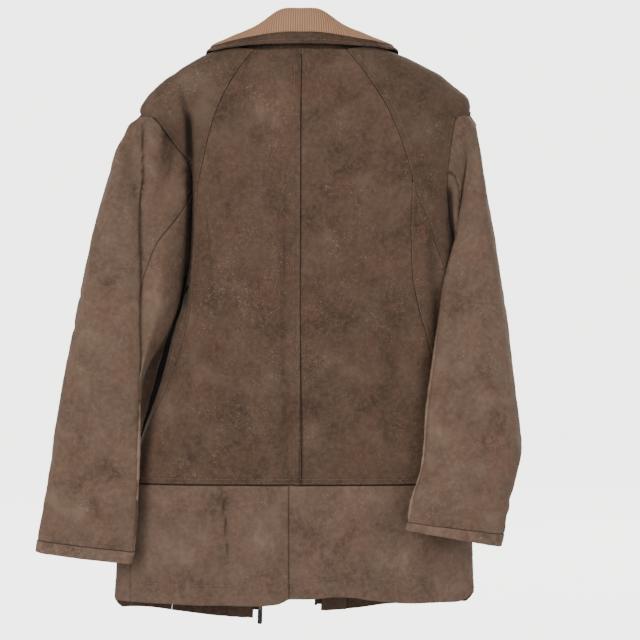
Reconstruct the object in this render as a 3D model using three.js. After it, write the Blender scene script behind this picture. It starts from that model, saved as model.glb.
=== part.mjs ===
// Zip-front leather jacket with a corduroy collar, hanging open. Millimetres, +Z up, the back faces +Y.
// Origin: the hanger's seat at the inside back neck.
import * as THREE from 'three';

// ---------------------------------------------------------------- dimensions
// seam lines and outlines as [x, z] pairs on the body; depth against height as [z, y];
// sleeve stations as outer, inner, back and front points [x, y, z]
const DEPTH_BACK = [[26.1, 54],[0.0, 58],[-31.9, 64],[-75.4, 70],[-147.9, 74],[-249.4, 74],[-365.4, 69],[-510.4, 60],[-633.6, 53],[-742.4, 48],[-804.8, 46],[-858.4, 45]];
const DEPTH_FRONT = [[26.1, 44],[0.0, 50],[-46.4, 57],[-92.8, 60],[-819.2, 48],[-858.4, 47.35]];
const CB = [[-2.1, -13.0],[-0.7, -111.9],[-0.7, -224.9],[-0.0, -366.1],[-0.7, -507.4],[-1.4, -626.8]];
const SEAM_L = [[67.6, -11.1],[86.0, -36.6],[103.8, -66.4],[120.1, -103.3],[132.9, -145.9],[140.0, -175.8],[145.7, -198.5],[148.5, -231.1],[149.9, -266.6],[152.1, -302.1],[154.2, -341.9],[158.4, -380.2],[165.5, -414.3],[175.5, -448.4],[186.8, -479.6],[199.6, -508.0],[208.7, -526.4],[219.5, -554.8],[230.9, -586.1],[240.8, -630.1]];
const SEAM_R = [[-63.0, -9.6],[-80.9, -30.9],[-98.5, -55.9],[-117.0, -84.9],[-131.2, -113.3],[-144.0, -145.9],[-153.5, -175.8],[-158.2, -201.3],[-156.8, -238.2],[-156.3, -266.6],[-156.8, -302.1],[-158.9, -334.8],[-162.4, -356.1],[-168.1, -383.0],[-176.6, -410.0],[-186.0, -439.3],[-196.5, -472.5],[-207.9, -508.0],[-219.2, -550.6],[-229.2, -593.2],[-236.3, -625.8]];
const BRANCH_L = [[147.1, -196.8],[151.4, -229.7],[158.6, -279.8],[164.3, -330.0],[168.6, -365.8]];
const BRANCH_R = [[-159.3, -199.7],[-165.0, -216.8],[-183.6, -257.7],[-197.9, -297.9],[-212.3, -340.0],[-223.7, -372.9]];
const ARMHOLE_L = [[227.0, -93.9],[216.9, -98.2],[202.5, -112.6],[188.1, -132.7],[176.6, -150.0],[169.4, -167.2],[166.9, -190.2],[166.1, -236.2],[166.6, -279.4],[168.0, -311.0]];
const ARMHOLE_R = [[-236.6, -80.8],[-223.7, -93.7],[-216.6, -126.6],[-213.0, -155.3],[-209.4, -192.5],[-210.8, -221.1],[-213.7, -246.9],[-216.6, -279.8],[-220.9, -311.4]];
const NECK_BACK = [[92.0, -4.5],[80.6, -7.8],[67.8, -9.7],[49.3, -10.5],[23.7, -10.8],[-1.9, -10.5],[-27.6, -10.0],[-50.3, -9.1],[-63.1, -8.2],[-78.8, -6.0],[-93.0, -1.7]];
const WAIST = [[246.5, -631.5],[225.2, -631.2],[142.8, -629.5],[71.8, -628.1],[16.5, -627.7],[-2.0, -627.2],[-70.1, -626.5],[-168.1, -625.8],[-240.5, -625.1]];
const HEM_BACK = [[266.2, -797.9],[200.6, -800.0],[129.3, -801.5],[60.9, -802.2],[30.9, -799.3],[15.2, -792.2],[-16.1, -792.2],[-48.9, -789.4],[-70.3, -789.4],[-96.0, -793.6],[-150.2, -798.9],[-222.9, -798.9],[-237.1, -795.9],[-247.1, -789.4]];
const HEM_FRONT_L = [[276.9, -812.6],[253.2, -814.1],[232.5, -815.6],[180.8, -823.8],[117.3, -831.8],[70.0, -833.9]];
const HEM_FRONT_R = [[-255.1, -803.7],[-227.1, -806.7],[-190.1, -809.7],[-128.0, -813.6],[-79.3, -820.0],[-26.1, -823.8]];
const NECK_FRONT_L = [[96.5, 10.3],[90.6, -1.5],[81.8, -22.1],[71.4, -45.8],[58.1, -69.4],[46.3, -84.2]];
const NECK_FRONT_R = [[-95.5, 13.3],[-92.5, -1.5],[-85.2, -22.1],[-74.8, -44.3],[-61.5, -67.9],[-51.2, -82.7]];
const SLEEVE_R = [[[-240.5, 2, -78.6],[-223.5, -3, -310.2],[-214.2, 42, -173.6],[-220.2, -34, -166.5]],[[-269.1, 6, -215.0],[-224.6, 10, -325],[-232.2, 48, -255.1],[-244.7, -28, -250.6]],[[-284.1, 14, -302.1],[-212.5, 36, -365.6],[-242, 58, -330.6],[-258, 2, -328.9]],[[-298.4, 28, -405.9],[-192.6, 57, -430.0],[-243, 72, -415.6],[-256, 24, -416.1]],[[-308.2, 42, -508.4],[-178.9, 66, -521.9],[-239.2, 80, -513.5],[-246.8, 40, -516.2]],[[-314.1, 52, -576.0],[-172.8, 66, -593.2],[-239.7, 90, -584.2],[-245.5, 42, -588.1]],[[-295.9, 62, -648.7],[-157.0, 71, -647.7],[-225.4, 94, -645.2],[-229.2, 50, -650.0]],[[-284.0, 68, -712.8],[-149.9, 73, -689.6],[-215.8, 92, -698.4],[-219.0, 53, -703.5]]];
const SLEEVE_L = [[[228.9, 2, -93.1],[169.8, -2, -310.2],[183.7, 38, -166.1],[196.0, -34, -181.2]],[[273.0, 8, -177.6],[170.6, 6, -339.4],[224.7, 54, -255.5],[223.9, -20, -251.1]],[[305.2, 16, -302.2],[180.0, 14, -377.1],[240.8, 62, -340.7],[244.5, -8, -339.1]],[[325.9, 22, -405.9],[213.8, 22, -454.7],[268.6, 66, -429.7],[273.8, 2, -430.6]],[[345.1, 28, -509.0],[228.5, 32, -520.3],[283.2, 62, -513.1],[288.9, 8, -515.8]],[[357.1, 33, -594.6],[230.9, 37, -605.7],[290.3, 62, -597.8],[296.8, 14, -602.0]],[[368.1, 36, -662.9],[233.4, 40, -668.2],[297.3, 62, -662.8],[303.4, 18, -667.8]],[[378.4, 38, -724.0],[242.7, 42, -740.6],[307.5, 60, -729.5],[313.2, 20, -735.2]]];

// ---------------------------------------------------------------- helpers
const V = (x, y, z) => new THREE.Vector3(x, y, z);
const clamp = (v, a, b) => Math.max(a, Math.min(b, v));
const lerp = (a, b, t) => a + (b - a) * t;

// piecewise linear lookup; pairs of [key, value], key may run either way
function look(table, key) {
  const t = table[0][0] < table[table.length - 1][0] ? table : [...table].reverse();
  if (key <= t[0][0]) return t[0][1];
  for (let i = 1; i < t.length; i++) {
    if (key <= t[i][0]) {
      const f = (key - t[i - 1][0]) / (t[i][0] - t[i - 1][0] || 1);
      return lerp(t[i - 1][1], t[i][1], f);
    }
  }
  return t[t.length - 1][1];
}
const flip = (table) => table.map(([a, b]) => [b, a]);

// half outlines of the body against height: shoulder line above, side below
const SIDE_L = [[56.6, 0], [49.3, 23.2], [33.4, 45], [14.5, 69.6], [3.6, 94.2], [-0.7, 105.9], [-6.5, 123.3], [-14.5, 140.7],
  [-23.2, 158], [-31.9, 174], [-40.6, 188.5], [-49.3, 200.1], [-58, 208.8], [-66.7, 216], [-75.4, 221.8], [-91.4, 229.1],
  [-99, 226.5], [-110.2, 218.9], [-130.5, 201.5], [-147.9, 187], [-165.3, 176.9], [-184.2, 171.1], [-205.9, 169.2],
  [-310.3, 169.7], [-350.9, 170.4], [-377, 174], [-421.9, 185.6], [-455.3, 194.3], [-510.4, 211], [-568.4, 232],
  [-633.6, 252.3], [-742.4, 266.8], [-804.8, 271.1], [-843.9, 272.6]];
const SIDE_R = [[56.6, 0], [49.3, -24.6], [33.4, -47.9], [17.4, -71], [6.5, -94.2], [1.4, -111.6], [-5.8, -129], [-13.8, -149.3],
  [-23.2, -169.7], [-31.9, -187], [-40.6, -203], [-49.3, -213.2], [-58, -221.8], [-66.7, -230.5], [-76, -237.8],
  [-84, -238.5], [-97.1, -236], [-123.2, -232], [-152.2, -229.5], [-189.9, -226], [-218.9, -224], [-245, -222.8],
  [-310.3, -221], [-365.4, -219], [-423.4, -220], [-480, -225], [-540, -233], [-600, -241], [-633.6, -245],
  [-742.4, -249.4], [-804.8, -250.8], [-843.9, -251.6]];

const BACK_N = 2.5;          // fullness of the back's cross-section
const FRONT_FLAT = 0.45;     // share of the front that is plane
const FRONT_N = 2.3;

const zHemNominal = -804;
const zWaist = -629;
function hemZ(x, back) {
  if (back) return look(HEM_BACK, x);
  if (x > 0) return look(HEM_FRONT_L, x);
  return look(HEM_FRONT_R, x);
}
function frame(z) {
  const xl = look(SIDE_L, z), xr = look(SIDE_R, z);
  return { xc: (xl + xr) / 2, hw: (xl - xr) / 2 };
}
// a: 0 centre back, +1 left side line, +2 centre front; negative to the right
function surf(a, v) {
  const s = Math.sign(a) || 1, m = Math.min(Math.abs(a), 2);
  let u, f;
  if (m <= 1) {
    const p = m * Math.PI / 2;
    u = Math.sin(p) ** (2 / BACK_N);
    f = Math.max(Math.cos(p), 0) ** (2 / BACK_N);
  } else {
    const t = 2 - m;
    if (t < 0.3) { u = FRONT_FLAT * t / 0.3; f = 1; }
    else {
      const p = (t - 0.3) / 0.7 * Math.PI / 2;
      u = FRONT_FLAT + (1 - FRONT_FLAT) * Math.sin(p) ** (2 / FRONT_N);
      f = Math.max(Math.cos(p), 0) ** (2 / FRONT_N);
    }
  }
  let z = v;
  let { xc, hw } = frame(z);
  if (v < zWaist) {
    const x0 = xc + s * hw * u;
    const k = (v - zWaist) / (zHemNominal - zWaist);
    const side = hemZ(s > 0 ? 270 : -250, true);
    let zh = hemZ(x0, m <= 1);
    if (m > 1) zh = lerp(side, zh, clamp((m - 1) * 6, 0, 1));
    else zh = lerp(side, zh, clamp((1 - m) * 8, 0, 1));
    z = zWaist + k * (zh - zWaist);
    ({ xc, hw } = frame(v));
  }
  const d = m <= 1 ? look(DEPTH_BACK, z) : -look(DEPTH_FRONT, z);
  return V(xc + s * hw * u, d * f, z);
}
function normal(a, v) {
  const e = 0.004;
  const du = surf(a + e, v).sub(surf(a - e, v));
  const dv = surf(a, v + 1.5).sub(surf(a, v - 1.5));
  const n = du.cross(dv);
  n.normalize();
  const c = frame(v);
  const p = surf(a, v);
  if (n.dot(V(p.x - c.xc, p.y * 4, 0)) < 0) n.negate();
  return n;
}
function at(a, v, off) { return surf(a, v).addScaledVector(normal(a, v), off); }
function aBack(x, v) {
  const { xc, hw } = frame(v);
  const u = clamp((x - xc) / hw, -1, 1);
  return Math.sign(u) * Math.asin(Math.abs(u) ** (BACK_N / 2)) / (Math.PI / 2);
}
function aFront(x, v) {
  const { xc, hw } = frame(v);
  const u = clamp((x - xc) / hw, -1, 1), m = Math.abs(u);
  let t;
  if (m < FRONT_FLAT) t = 0.3 * m / FRONT_FLAT;
  else t = 0.3 + 0.7 * Math.asin(((m - FRONT_FLAT) / (1 - FRONT_FLAT)) ** (FRONT_N / 2)) / (Math.PI / 2);
  return Math.sign(u) * (2 - t);
}

// closed shell from two point grids [row][col], outer and inner; rows may be closed into a ring
function shell(outer, inner, ring = false) {
  const R = outer.length, C = outer[0].length, pos = [], idx = [];
  const push = (g) => g.forEach(r => r.forEach(p => pos.push(p.x, p.y, p.z)));
  push(outer); push(inner);
  const O = (i, j) => i * C + (j % C), I = (i, j) => R * C + i * C + (j % C);
  const CC = ring ? C : C - 1;
  const quad = (a, b, c, d) => idx.push(a, b, c, a, c, d);
  for (let i = 0; i < R - 1; i++) for (let j = 0; j < CC; j++) {
    quad(O(i, j), O(i, j + 1), O(i + 1, j + 1), O(i + 1, j));
    quad(I(i, j), I(i + 1, j), I(i + 1, j + 1), I(i, j + 1));
  }
  for (let j = 0; j < CC; j++) {
    quad(O(0, j), I(0, j), I(0, j + 1), O(0, j + 1));
    quad(O(R - 1, j), O(R - 1, j + 1), I(R - 1, j + 1), I(R - 1, j));
  }
  if (!ring) for (let i = 0; i < R - 1; i++) {
    quad(O(i, 0), O(i + 1, 0), I(i + 1, 0), I(i, 0));
    quad(O(i, C - 1), I(i, C - 1), I(i + 1, C - 1), O(i + 1, C - 1));
  }
  let vol = 0;
  const P = (k) => V(pos[3 * k], pos[3 * k + 1], pos[3 * k + 2]);
  for (let k = 0; k < idx.length; k += 3) vol += P(idx[k]).dot(P(idx[k + 1]).cross(P(idx[k + 2])));
  if (vol < 0) for (let k = 0; k < idx.length; k += 3) [idx[k + 1], idx[k + 2]] = [idx[k + 2], idx[k + 1]];
  const g = new THREE.BufferGeometry();
  g.setAttribute('position', new THREE.Float32BufferAttribute(pos, 3));
  g.setIndex(idx);
  g.computeVertexNormals();
  return g;
}

const group = new THREE.Group();
function add(name, geometry, material) {
  const mesh = new THREE.Mesh(geometry, new THREE.MeshStandardMaterial(material));
  mesh.name = name;
  group.add(mesh);
  return mesh;
}
const leather = (c = 0x70584c) => ({ color: c, roughness: 0.78, metalness: 0 });
const corduroy = { color: 0xaf8a70, roughness: 0.95, metalness: 0 };
const satin = { color: 0x4a4038, roughness: 0.6, metalness: 0 };
const tapeCloth = { color: 0x3f352e, roughness: 0.9, metalness: 0 };
const brassy = { color: 0x6f6a60, roughness: 0.35, metalness: 1 };

// strip of the body surface between two edge functions (a values), rows of v, at two offsets
function strip(rows, aIn, aOut, cols, o1, o2, ease = (t) => t) {
  const G1 = [], G2 = [];
  for (const v of rows) {
    let a0 = aIn(v), a1 = aOut(v);
    const L = surf(a0, v).distanceTo(surf(lerp(a0, a1, 0.1), v)) / 0.1;
    const inset = clamp(0.25 / Math.max(L, 1), 0, 0.2);
    const r1 = [], r2 = [];
    for (let j = 0; j <= cols; j++) {
      const a = lerp(a0, a1, lerp(inset, 1 - inset, ease(j / cols)));
      r1.push(at(a, v, o1)); r2.push(at(a, v, o2));
    }
    G1.push(r1); G2.push(r2);
  }
  return shell(G1, G2);
}
const span = (rows, hi, lo) => rows.filter(v => v <= hi + 1e-6 && v >= lo - 1e-6);

// ---------------------------------------------------------------- rows of the body
const ARM_ROWS = [-94.5, -102, -118, -144, -170, -198, -235, -272, -311];
const TOP_ROWS = [-10.4, -17, -26, -38, -52, -68, -74, -82];
const LOW_ROWS = [-345, -362, -380, -415, -450, -490, -530, -565, -600, -628];
const BODY_ROWS = [...TOP_ROWS, ...ARM_ROWS, ...LOW_ROWS];
const SKIRT_ROWS = [-630.2, -665, -700, -735, -770, -804];
const T_LEATHER = 1.6;
const LINING_ROWS = [...span(BODY_ROWS, -17, -628), -665, -700, -735, -770];
const endsFine = (t) => 0.5 - 0.5 * Math.cos(Math.PI * t);
const outerFine = (t) => Math.sin(Math.PI / 2 * t);

const seamX = (table, v) => look(flip(table), v);
const side = (s) => s > 0;
const seam = (s) => (v) => seamX(side(s) ? SEAM_L : SEAM_R, v);
const branch = (s) => (v) => seamX(side(s) ? BRANCH_L : BRANCH_R, v);
const armhole = (s) => (v) => seamX(side(s) ? ARMHOLE_L : ARMHOLE_R, v);
const centre = (v) => seamX(CB, v);
const NECK_SIDE = [[-9.8, 66], [-7.8, 80.6], [-4.5, 92], [-1, 94]];
const neckBackX = (s) => (v) => s * look(NECK_SIDE, v);
const neckFrontX = (s) => (v) => seamX(side(s) ? NECK_FRONT_L : NECK_FRONT_R, v);
const inArm = (v) => v < -94.6 && v > -310.9;

// fold line along which each front opens, straight from the neckline to the hem
const HINGE_TOP = { 1: [60, -68], [-1]: [-61.5, -68] };
const HINGE_LOW = { 1: [190, -812], [-1]: [-180, -808] };
// x on a straight front line at row v, allowing for the hem's dip below the waist
const straight = (f) => (v) => { let z = v; for (let i = 0; i < 4; i++) z = surf(aFront(f(z), v), v).z; return f(z); };
const hingeX = (s) => straight(v => lerp(HINGE_TOP[s][0], HINGE_LOW[s][0], (HINGE_TOP[s][1] - v) / (HINGE_TOP[s][1] - HINGE_LOW[s][1])));

for (const s of [1, -1]) {
  const n = s > 0 ? 'left' : 'right';
  // back
  add('back_panel_' + n, strip(BODY_ROWS, v => aBack(centre(v), v), v => aBack(seam(s)(v), v), 6, 0, -T_LEATHER), leather(0x6f584b));
  add('shoulder_panel_' + n, strip([-1, -5, ...span(BODY_ROWS, -10, -345)],
    v => aBack(v > -10 ? neckBackX(s)(v) : v > -198.1 ? seam(s)(v) : branch(s)(v), v),
    v => (inArm(v) ? aBack(armhole(s)(v), v) : s), 4, 0, -T_LEATHER), leather(0x745c4f));
  add('back_side_panel_' + n, strip(span(BODY_ROWS, -235, -628),
    v => aBack(seam(s)(v), v), v => (v > -346 ? aBack(branch(s)(v), v) : v > -363 ? s * 0.93 : s), 4, 0, -T_LEATHER), leather(0x6b5548));
  add('back_skirt_' + n, strip(SKIRT_ROWS, v => aBack(16, v), v => s, 8, 0, -T_LEATHER), leather(0x6a5447));
  // front, fixed part
  add('front_side_panel_' + n, strip([-1, -5, ...BODY_ROWS, ...SKIRT_ROWS],
    v => aFront(v > -68.1 ? neckFrontX(s)(v) : hingeX(s)(v), v),
    v => (inArm(v) ? aFront(armhole(s)(v) - s * 2, v) : s), 6, 0, -T_LEATHER, outerFine), leather(0x6e574a));
  add('side_lining_' + n, strip(LINING_ROWS,
    v => aFront((v > -68.1 ? neckFrontX(s)(v) : hingeX(s)(v)) + s * 1, v),
    v => (inArm(v) ? aFront(armhole(s)(v) - s * 5, v) : v > -95 ? s * 1.05 : s * 1.012), 6, -3.6, -4.5, outerFine), satin);
}
add('back_lining', strip(LINING_ROWS,
  v => (v > -20 ? -0.7 : inArm(v) ? aBack(armhole(-1)(v) + 3, v) : v > -60 ? -0.95 : v > -95 ? -0.8 : v > -346 ? -0.85 : v > -363 ? -0.9 : -0.985), v => (v > -20 ? 0.7 : inArm(v) ? aBack(armhole(1)(v) - 3, v) : v > -60 ? 0.95 : v > -95 ? 0.8 : v > -346 ? 0.85 : v > -363 ? 0.9 : 0.985), 16, -4.1, -5.0, endsFine), satin);
add('neck_label', strip([-38, -54, -70], v => aBack(-27, v), v => aBack(27, v), 3, -6.0, -6.8), { color: 0x2e2925, roughness: 0.8, metalness: 0 });

// ---------------------------------------------------------------- free strips (collar, sleeves)
function gridNormals(G, ring, centreAt) {
  const R = G.length, C = G[0].length;
  return G.map((row, i) => row.map((p, j) => {
    const j0 = ring ? (j + C - 1) % C : Math.max(j - 1, 0), j1 = ring ? (j + 1) % C : Math.min(j + 1, C - 1);
    const i0 = Math.max(i - 1, 0), i1 = Math.min(i + 1, R - 1);
    const n = G[i][j1].clone().sub(G[i][j0]).cross(G[i1][j].clone().sub(G[i0][j])).normalize();
    if (n.dot(p.clone().sub(centreAt(i, j))) < 0) n.negate();
    return n;
  }));
}
const offset = (G, N, d) => G.map((r, i) => r.map((p, j) => p.clone().addScaledVector(N[i][j], d)));

// neck seam, fold line and leaf edge, from centre back (0) to the left front end; right mirrored in place
const NECK_CURVE = [[0, 57, -9.4], [30, 56, -9.4], [56, 50.5, -8.6], [72, 44, -6.5], [86, 33, -1.6], [94, 18, 0.8], [97, 0, 1.6], [94, -18, 0.8], [87, -34, -3.5], [83.5, -45, -14], [75, -51.5, -33], [65, -55, -52], [58.5, -56.5, -64]];
const FOLD_CURVE = [[0, 46, 48], [25, 45.5, 47.5], [41, 44, 39], [59, 40, 26.3], [79, 30, 18], [94, 14, 12.5], [103, -4, 9], [105, -24, 3], [100, -42, -9], [91, -54, -26], [80, -59.5, -44], [71, -61.5, -57], [65, -62, -65]];
const LEAF_CURVE = [[0, 69, -4], [27, 68.5, -4.2], [51, 65, -4.5], [84, 58, -5.6], [106, 46, -7.2], [121.5, 37, -10], [133, 18, -7.5], [138, -6, -8.5], [137, -32, -14], [129, -57, -35], [118, -63.5, -60], [105, -65.5, -84], [90, -66, -103]];
// the collar rests on the shoulders: its points are moved out until they clear the body
function inside(p) {
  if (p.z > 8) return false;
  const { xc, hw } = frame(p.z), u = Math.abs(p.x - xc) / hw;
  if (u >= 1) return false;
  const d = p.y > 0 ? look(DEPTH_BACK, p.z) * (1 - u ** BACK_N) ** (1 / BACK_N)
    : look(DEPTH_FRONT, p.z) * (u < FRONT_FLAT ? 1 : (1 - ((u - FRONT_FLAT) / (1 - FRONT_FLAT)) ** FRONT_N) ** (1 / FRONT_N));
  return Math.abs(p.y) < d;
}
function clearOf(p, d) {
  const dir = V(p.x * 0.3, p.y, 30).normalize(), q = p.clone();
  for (let i = 0; i < 60 && inside(q.clone().addScaledVector(dir, -d)); i++) q.addScaledVector(dir, 0.5);
  return q;
}
const full = (T) => [...T.slice(1).reverse().map(([x, y, z]) => V(-x, y, z)), ...T.map(([x, y, z]) => V(x, y, z))];
const neckC = full(NECK_CURVE), foldC = full(FOLD_CURVE).map(p => clearOf(p, 5.5)), leafC = full(LEAF_CURVE);
const between = (A, B, ts, bulge = 0) => ts.map(t => A.map((p, j) => {
  const q = p.clone().lerp(B[j], t);
  const out = V(q.x * 0.6, q.y + 5, 40).normalize();
  return q.addScaledVector(out, bulge * Math.sin(Math.PI * t));
}));
const standTop = foldC.map(p => { const h = V(p.x, p.y + 8, 0).normalize(); return p.clone().addScaledVector(h, -3.2).add(V(0, 0, -3)); });
const standG = between(neckC, standTop, [0, 0.35, 0.7, 1]);
const standN = gridNormals(standG, false, () => V(0, 0, -20));
add('collar_stand', shell(standG, offset(standG, standN, -1.8)), leather(0x665044));
const leafG = between(foldC, leafC, [0, 0.2, 0.45, 0.7, 0.85, 1], 5);
leafG.forEach((r, i) => r.forEach((p, j) => { if (i > 0) r[j] = clearOf(p, 6); }));
const leafN = gridNormals(leafG, false, (i, j) => V(0, -10, -40));
add('collar_leaf', shell(leafG, offset(leafG, leafN, -1.8)), leather(0x735b4d));
const cordG = [leafG[0].map((p, j) => p.clone().lerp(leafG[1][j], 0.1)), leafG[1], leafG[2], leafG[3]];
const cordN = gridNormals(cordG, false, () => V(0, -10, -40));
add('collar_corduroy', shell(offset(cordG, cordN, 1.8), offset(cordG, cordN, 0.6)), corduroy);

// hang loop: a strap with both ends on the lining, standing off it in the middle
{
  const s = new THREE.Shape();
  s.moveTo(-33, 0); s.lineTo(-33, -9.5); s.lineTo(33, -9.5); s.lineTo(33, 0); s.lineTo(27, 0); s.lineTo(27, -6.5); s.lineTo(-27, -6.5); s.lineTo(-27, 0); s.closePath();
  const g = new THREE.ExtrudeGeometry(s, { depth: 8, bevelEnabled: false, steps: 1 });
  g.translate(0, 52.5, -31);
  add('hang_loop', g, leather(0x5c483d));
}

// ---------------------------------------------------------------- sleeves
const K = 16;
function catmull(T, i, comp) {
  const n = T.length - 1, i0 = clamp(Math.floor(i), 0, n - 1), f = i - i0;
  const g = (k) => T[clamp(k, 0, n)][comp];
  const p0 = g(i0 - 1), p1 = g(i0), p2 = g(i0 + 1), p3 = g(i0 + 2), r = [];
  for (let c = 0; c < 3; c++) r.push(0.5 * (2 * p1[c] + (p2[c] - p0[c]) * f + (2 * p0[c] - 5 * p1[c] + 4 * p2[c] - p3[c]) * f * f + (3 * p1[c] - p0[c] - 3 * p2[c] + p3[c]) * f * f * f));
  return V(...r);
}
function ovalAt(T, t, k) {
  const o = catmull(T, t, 0), i = catmull(T, t, 1), b = catmull(T, t, 2), f = catmull(T, t, 3);
  const c = o.clone().add(i).add(b).add(f).multiplyScalar(0.25);
  const psi = k / K * 2 * Math.PI, cs = Math.cos(psi), sn = Math.sin(psi);
  const q = (a) => Math.sign(a) * Math.abs(a) ** 0.9;
  return c.clone().addScaledVector((cs > 0 ? o : i).clone().sub(c), Math.abs(q(cs))).addScaledVector((sn > 0 ? b : f).clone().sub(c), Math.abs(q(sn)));
}
function armPoint(s, k) {
  const kk = ((k % K) + K) % K, back = kk <= 8, m = back ? kk : K - kk, i = Math.min(Math.floor(m), 7), f = m - i;
  const pt = (j) => {
    const z = ARM_ROWS[j];
    if (j === 0 || j === 8) return surf(s, z);
    return back ? surf(aBack(armhole(s)(z), z), z) : surf(aFront(armhole(s)(z) - s * 2, z), z);
  };
  const p = pt(i).lerp(pt(i + 1), f);
  return p.add(V(s * 1.0, 0, i === 0 && f === 0 ? -1.2 : 0));
}
function sleevePoint(s, t, k) {
  const T = s > 0 ? SLEEVE_L : SLEEVE_R;
  const e = ovalAt(T, t, k);
  if (t >= 1.2) return e;
  const w = 1 - t / 1.2, ww = w * w * (3 - 2 * w);
  const d = armPoint(s, k).sub(ovalAt(T, 0, k));
  return e.addScaledVector(d, ww);
}
function sleeveGrid(s, ts, ks) { return ts.map(t => ks.map(k => sleevePoint(s, t, k))); }
const axisPoint = (s, t) => { const q = V(0, 0, 0); for (let k = 0; k < K; k += 4) q.add(sleevePoint(s, t, k)); return q.multiplyScalar(0.25); };
const T_ROWS = [0, 0.15, 0.35, 0.65, 1, 1.5, 2, 2.5, 3, 3.5, 4, 4.5, 5, 5.5, 6, 6.5];
const T_CUFF = [6.515, 6.75, 7];
const range = (a, b) => Array.from({ length: b - a + 1 }, (_, i) => a + i);
const insetEnds = (ks, e) => ks.map((k, i) => (i === 0 ? k + e : i === ks.length - 1 ? k - e : k));
for (const s of [1, -1]) {
  const n = s > 0 ? 'left' : 'right';
  const mk = (name, ts, ks, o1, o2, ring, mat) => {
    const ksAll = range(0, K - 1);
    // normals from the whole tube so that neighbouring strips agree
    const at3 = (t, k, d) => {
      const e = 0.05, dk = 0.25;
      const t0 = Math.max(t - e, 0), t1 = Math.min(t + e, 7);
      const nn = sleevePoint(s, t, k + dk).sub(sleevePoint(s, t, k - dk)).cross(sleevePoint(s, t1, k).sub(sleevePoint(s, t0, k))).normalize();
      const p = sleevePoint(s, t, k);
      if (nn.dot(p.clone().sub(axisPoint(s, t))) < 0) nn.negate();
      return p.addScaledVector(nn, d);
    };
    const A = ts.map(t => ks.map(k => at3(t, k, o1))), B = ts.map(t => ks.map(k => at3(t, k, o2)));
    add(name, shell(A, B, ring), mat);
  };
  mk('sleeve_upper_' + n, T_ROWS, insetEnds(range(-5, 5), 0.012), 0, -T_LEATHER, false, leather(0x856d60));
  mk('sleeve_under_' + n, T_ROWS, insetEnds(range(5, 11), 0.012), 0, -T_LEATHER, false, leather(0x7c6558));
  mk('cuff_hem_' + n, T_CUFF, range(0, K - 1), 0.5, -2.2, true, leather(0x84705f));
  mk('sleeve_lining_' + n, [0.35, 0.65, 1, 1.5, 2, 2.5, 3, 3.5, 4, 4.5, 5, 5.5, 6, 6.5, 6.8], range(0, K - 1), -3.2, -4.0, true, satin);
}

// ---------------------------------------------------------------- fronts and zip
const SLOPE = 0.01652;                       // lean of the front plane
const planeY = (z) => -(60 - (-92.8 - z) * SLOPE);
const ZIPS = {
  1: { low: [63.9, -824.5], top: [44.0, -95] },
  [-1]: { low: [-21.9, -816], top: [-48.2, -95] },
};
const PLANE_N = V(0, -1, -SLOPE).normalize();
function zipFrame(s) {
  const Z = ZIPS[s], lo = V(Z.low[0], planeY(Z.low[1]), Z.low[1]), hi = V(Z.top[0], planeY(Z.top[1]), Z.top[1]);
  const w = hi.clone().sub(lo), len = w.length(); w.normalize();
  const u = w.clone().cross(PLANE_N).normalize();
  if (u.x * s > 0) u.negate();               // u points to the free edge
  const m = new THREE.Matrix4().makeBasis(u, w, PLANE_N);
  if (m.determinant() < 0) return { lo, u, w, len, flip: true };
  return { lo, u, w, len, flip: false };
}
function zipPoint(Z, a, b, c) { return Z.lo.clone().addScaledVector(Z.u, a).addScaledVector(Z.w, b).addScaledVector(PLANE_N, c); }
function zipPrism(Z, outline, n0, n1) {      // outline in (u, w)
  const pos = [], idx = [], N = outline.length;
  for (const c of [n0, n1]) for (const [a, b] of outline) { const p = zipPoint(Z, a, b, c); pos.push(p.x, p.y, p.z); }
  const tri = THREE.ShapeUtils.triangulateShape(outline.map(([a, b]) => new THREE.Vector2(a, b)), []);
  for (const [i, j, k] of tri) { idx.push(i, j, k); idx.push(N + i, N + k, N + j); }
  const area = outline.reduce((A, p, i) => { const q = outline[(i + 1) % N]; return A + p[0] * q[1] - q[0] * p[1]; }, 0);
  for (let i = 0; i < N; i++) {
    const j = (i + 1) % N;
    if (area > 0) idx.push(j, i, N + i, j, N + i, N + j); else idx.push(i, j, N + j, i, N + j, N + i);
  }
  // caps and walls must agree: capped triangles follow the outline's own sense
  let vol = 0; const P = (k) => V(pos[3 * k], pos[3 * k + 1], pos[3 * k + 2]);
  const o = P(0);
  for (let k = 0; k < idx.length; k += 3) vol += P(idx[k]).sub(o).dot(P(idx[k + 1]).sub(o).cross(P(idx[k + 2]).sub(o)));
  if (vol < 0) for (let k = 0; k < idx.length; k += 3) [idx[k + 1], idx[k + 2]] = [idx[k + 2], idx[k + 1]];
  const g = new THREE.BufferGeometry();
  g.setAttribute('position', new THREE.Float32BufferAttribute(pos, 3)); g.setIndex(idx); g.computeVertexNormals();
  return g;
}
const rect = (a0, a1, b0, b1) => [[a0, b0], [a1, b0], [a1, b1], [a0, b1]];
const PITCH = 8;
function comb(len, phase) {
  const pts = [[-1.4, 0]];
  let b = phase;
  pts.push([1, 0]);
  while (b + PITCH * 0.5 < len) { pts.push([1, b], [4, b + 0.5], [4, b + PITCH * 0.5 - 0.5], [1, b + PITCH * 0.5]); b += PITCH; }
  pts.push([1, len], [-1.4, len]);
  return pts;
}
const zipX = (s) => straight(v => lerp(ZIPS[s].top[0], ZIPS[s].low[0], (ZIPS[s].top[1] - v) / (ZIPS[s].top[1] - ZIPS[s].low[1])));
const FRONT_ROWS = [-74, -82, -94.5, -118, -144, -170, -198, -235, -272, -311, ...LOW_ROWS, ...SKIRT_ROWS.slice(1)];
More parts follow.
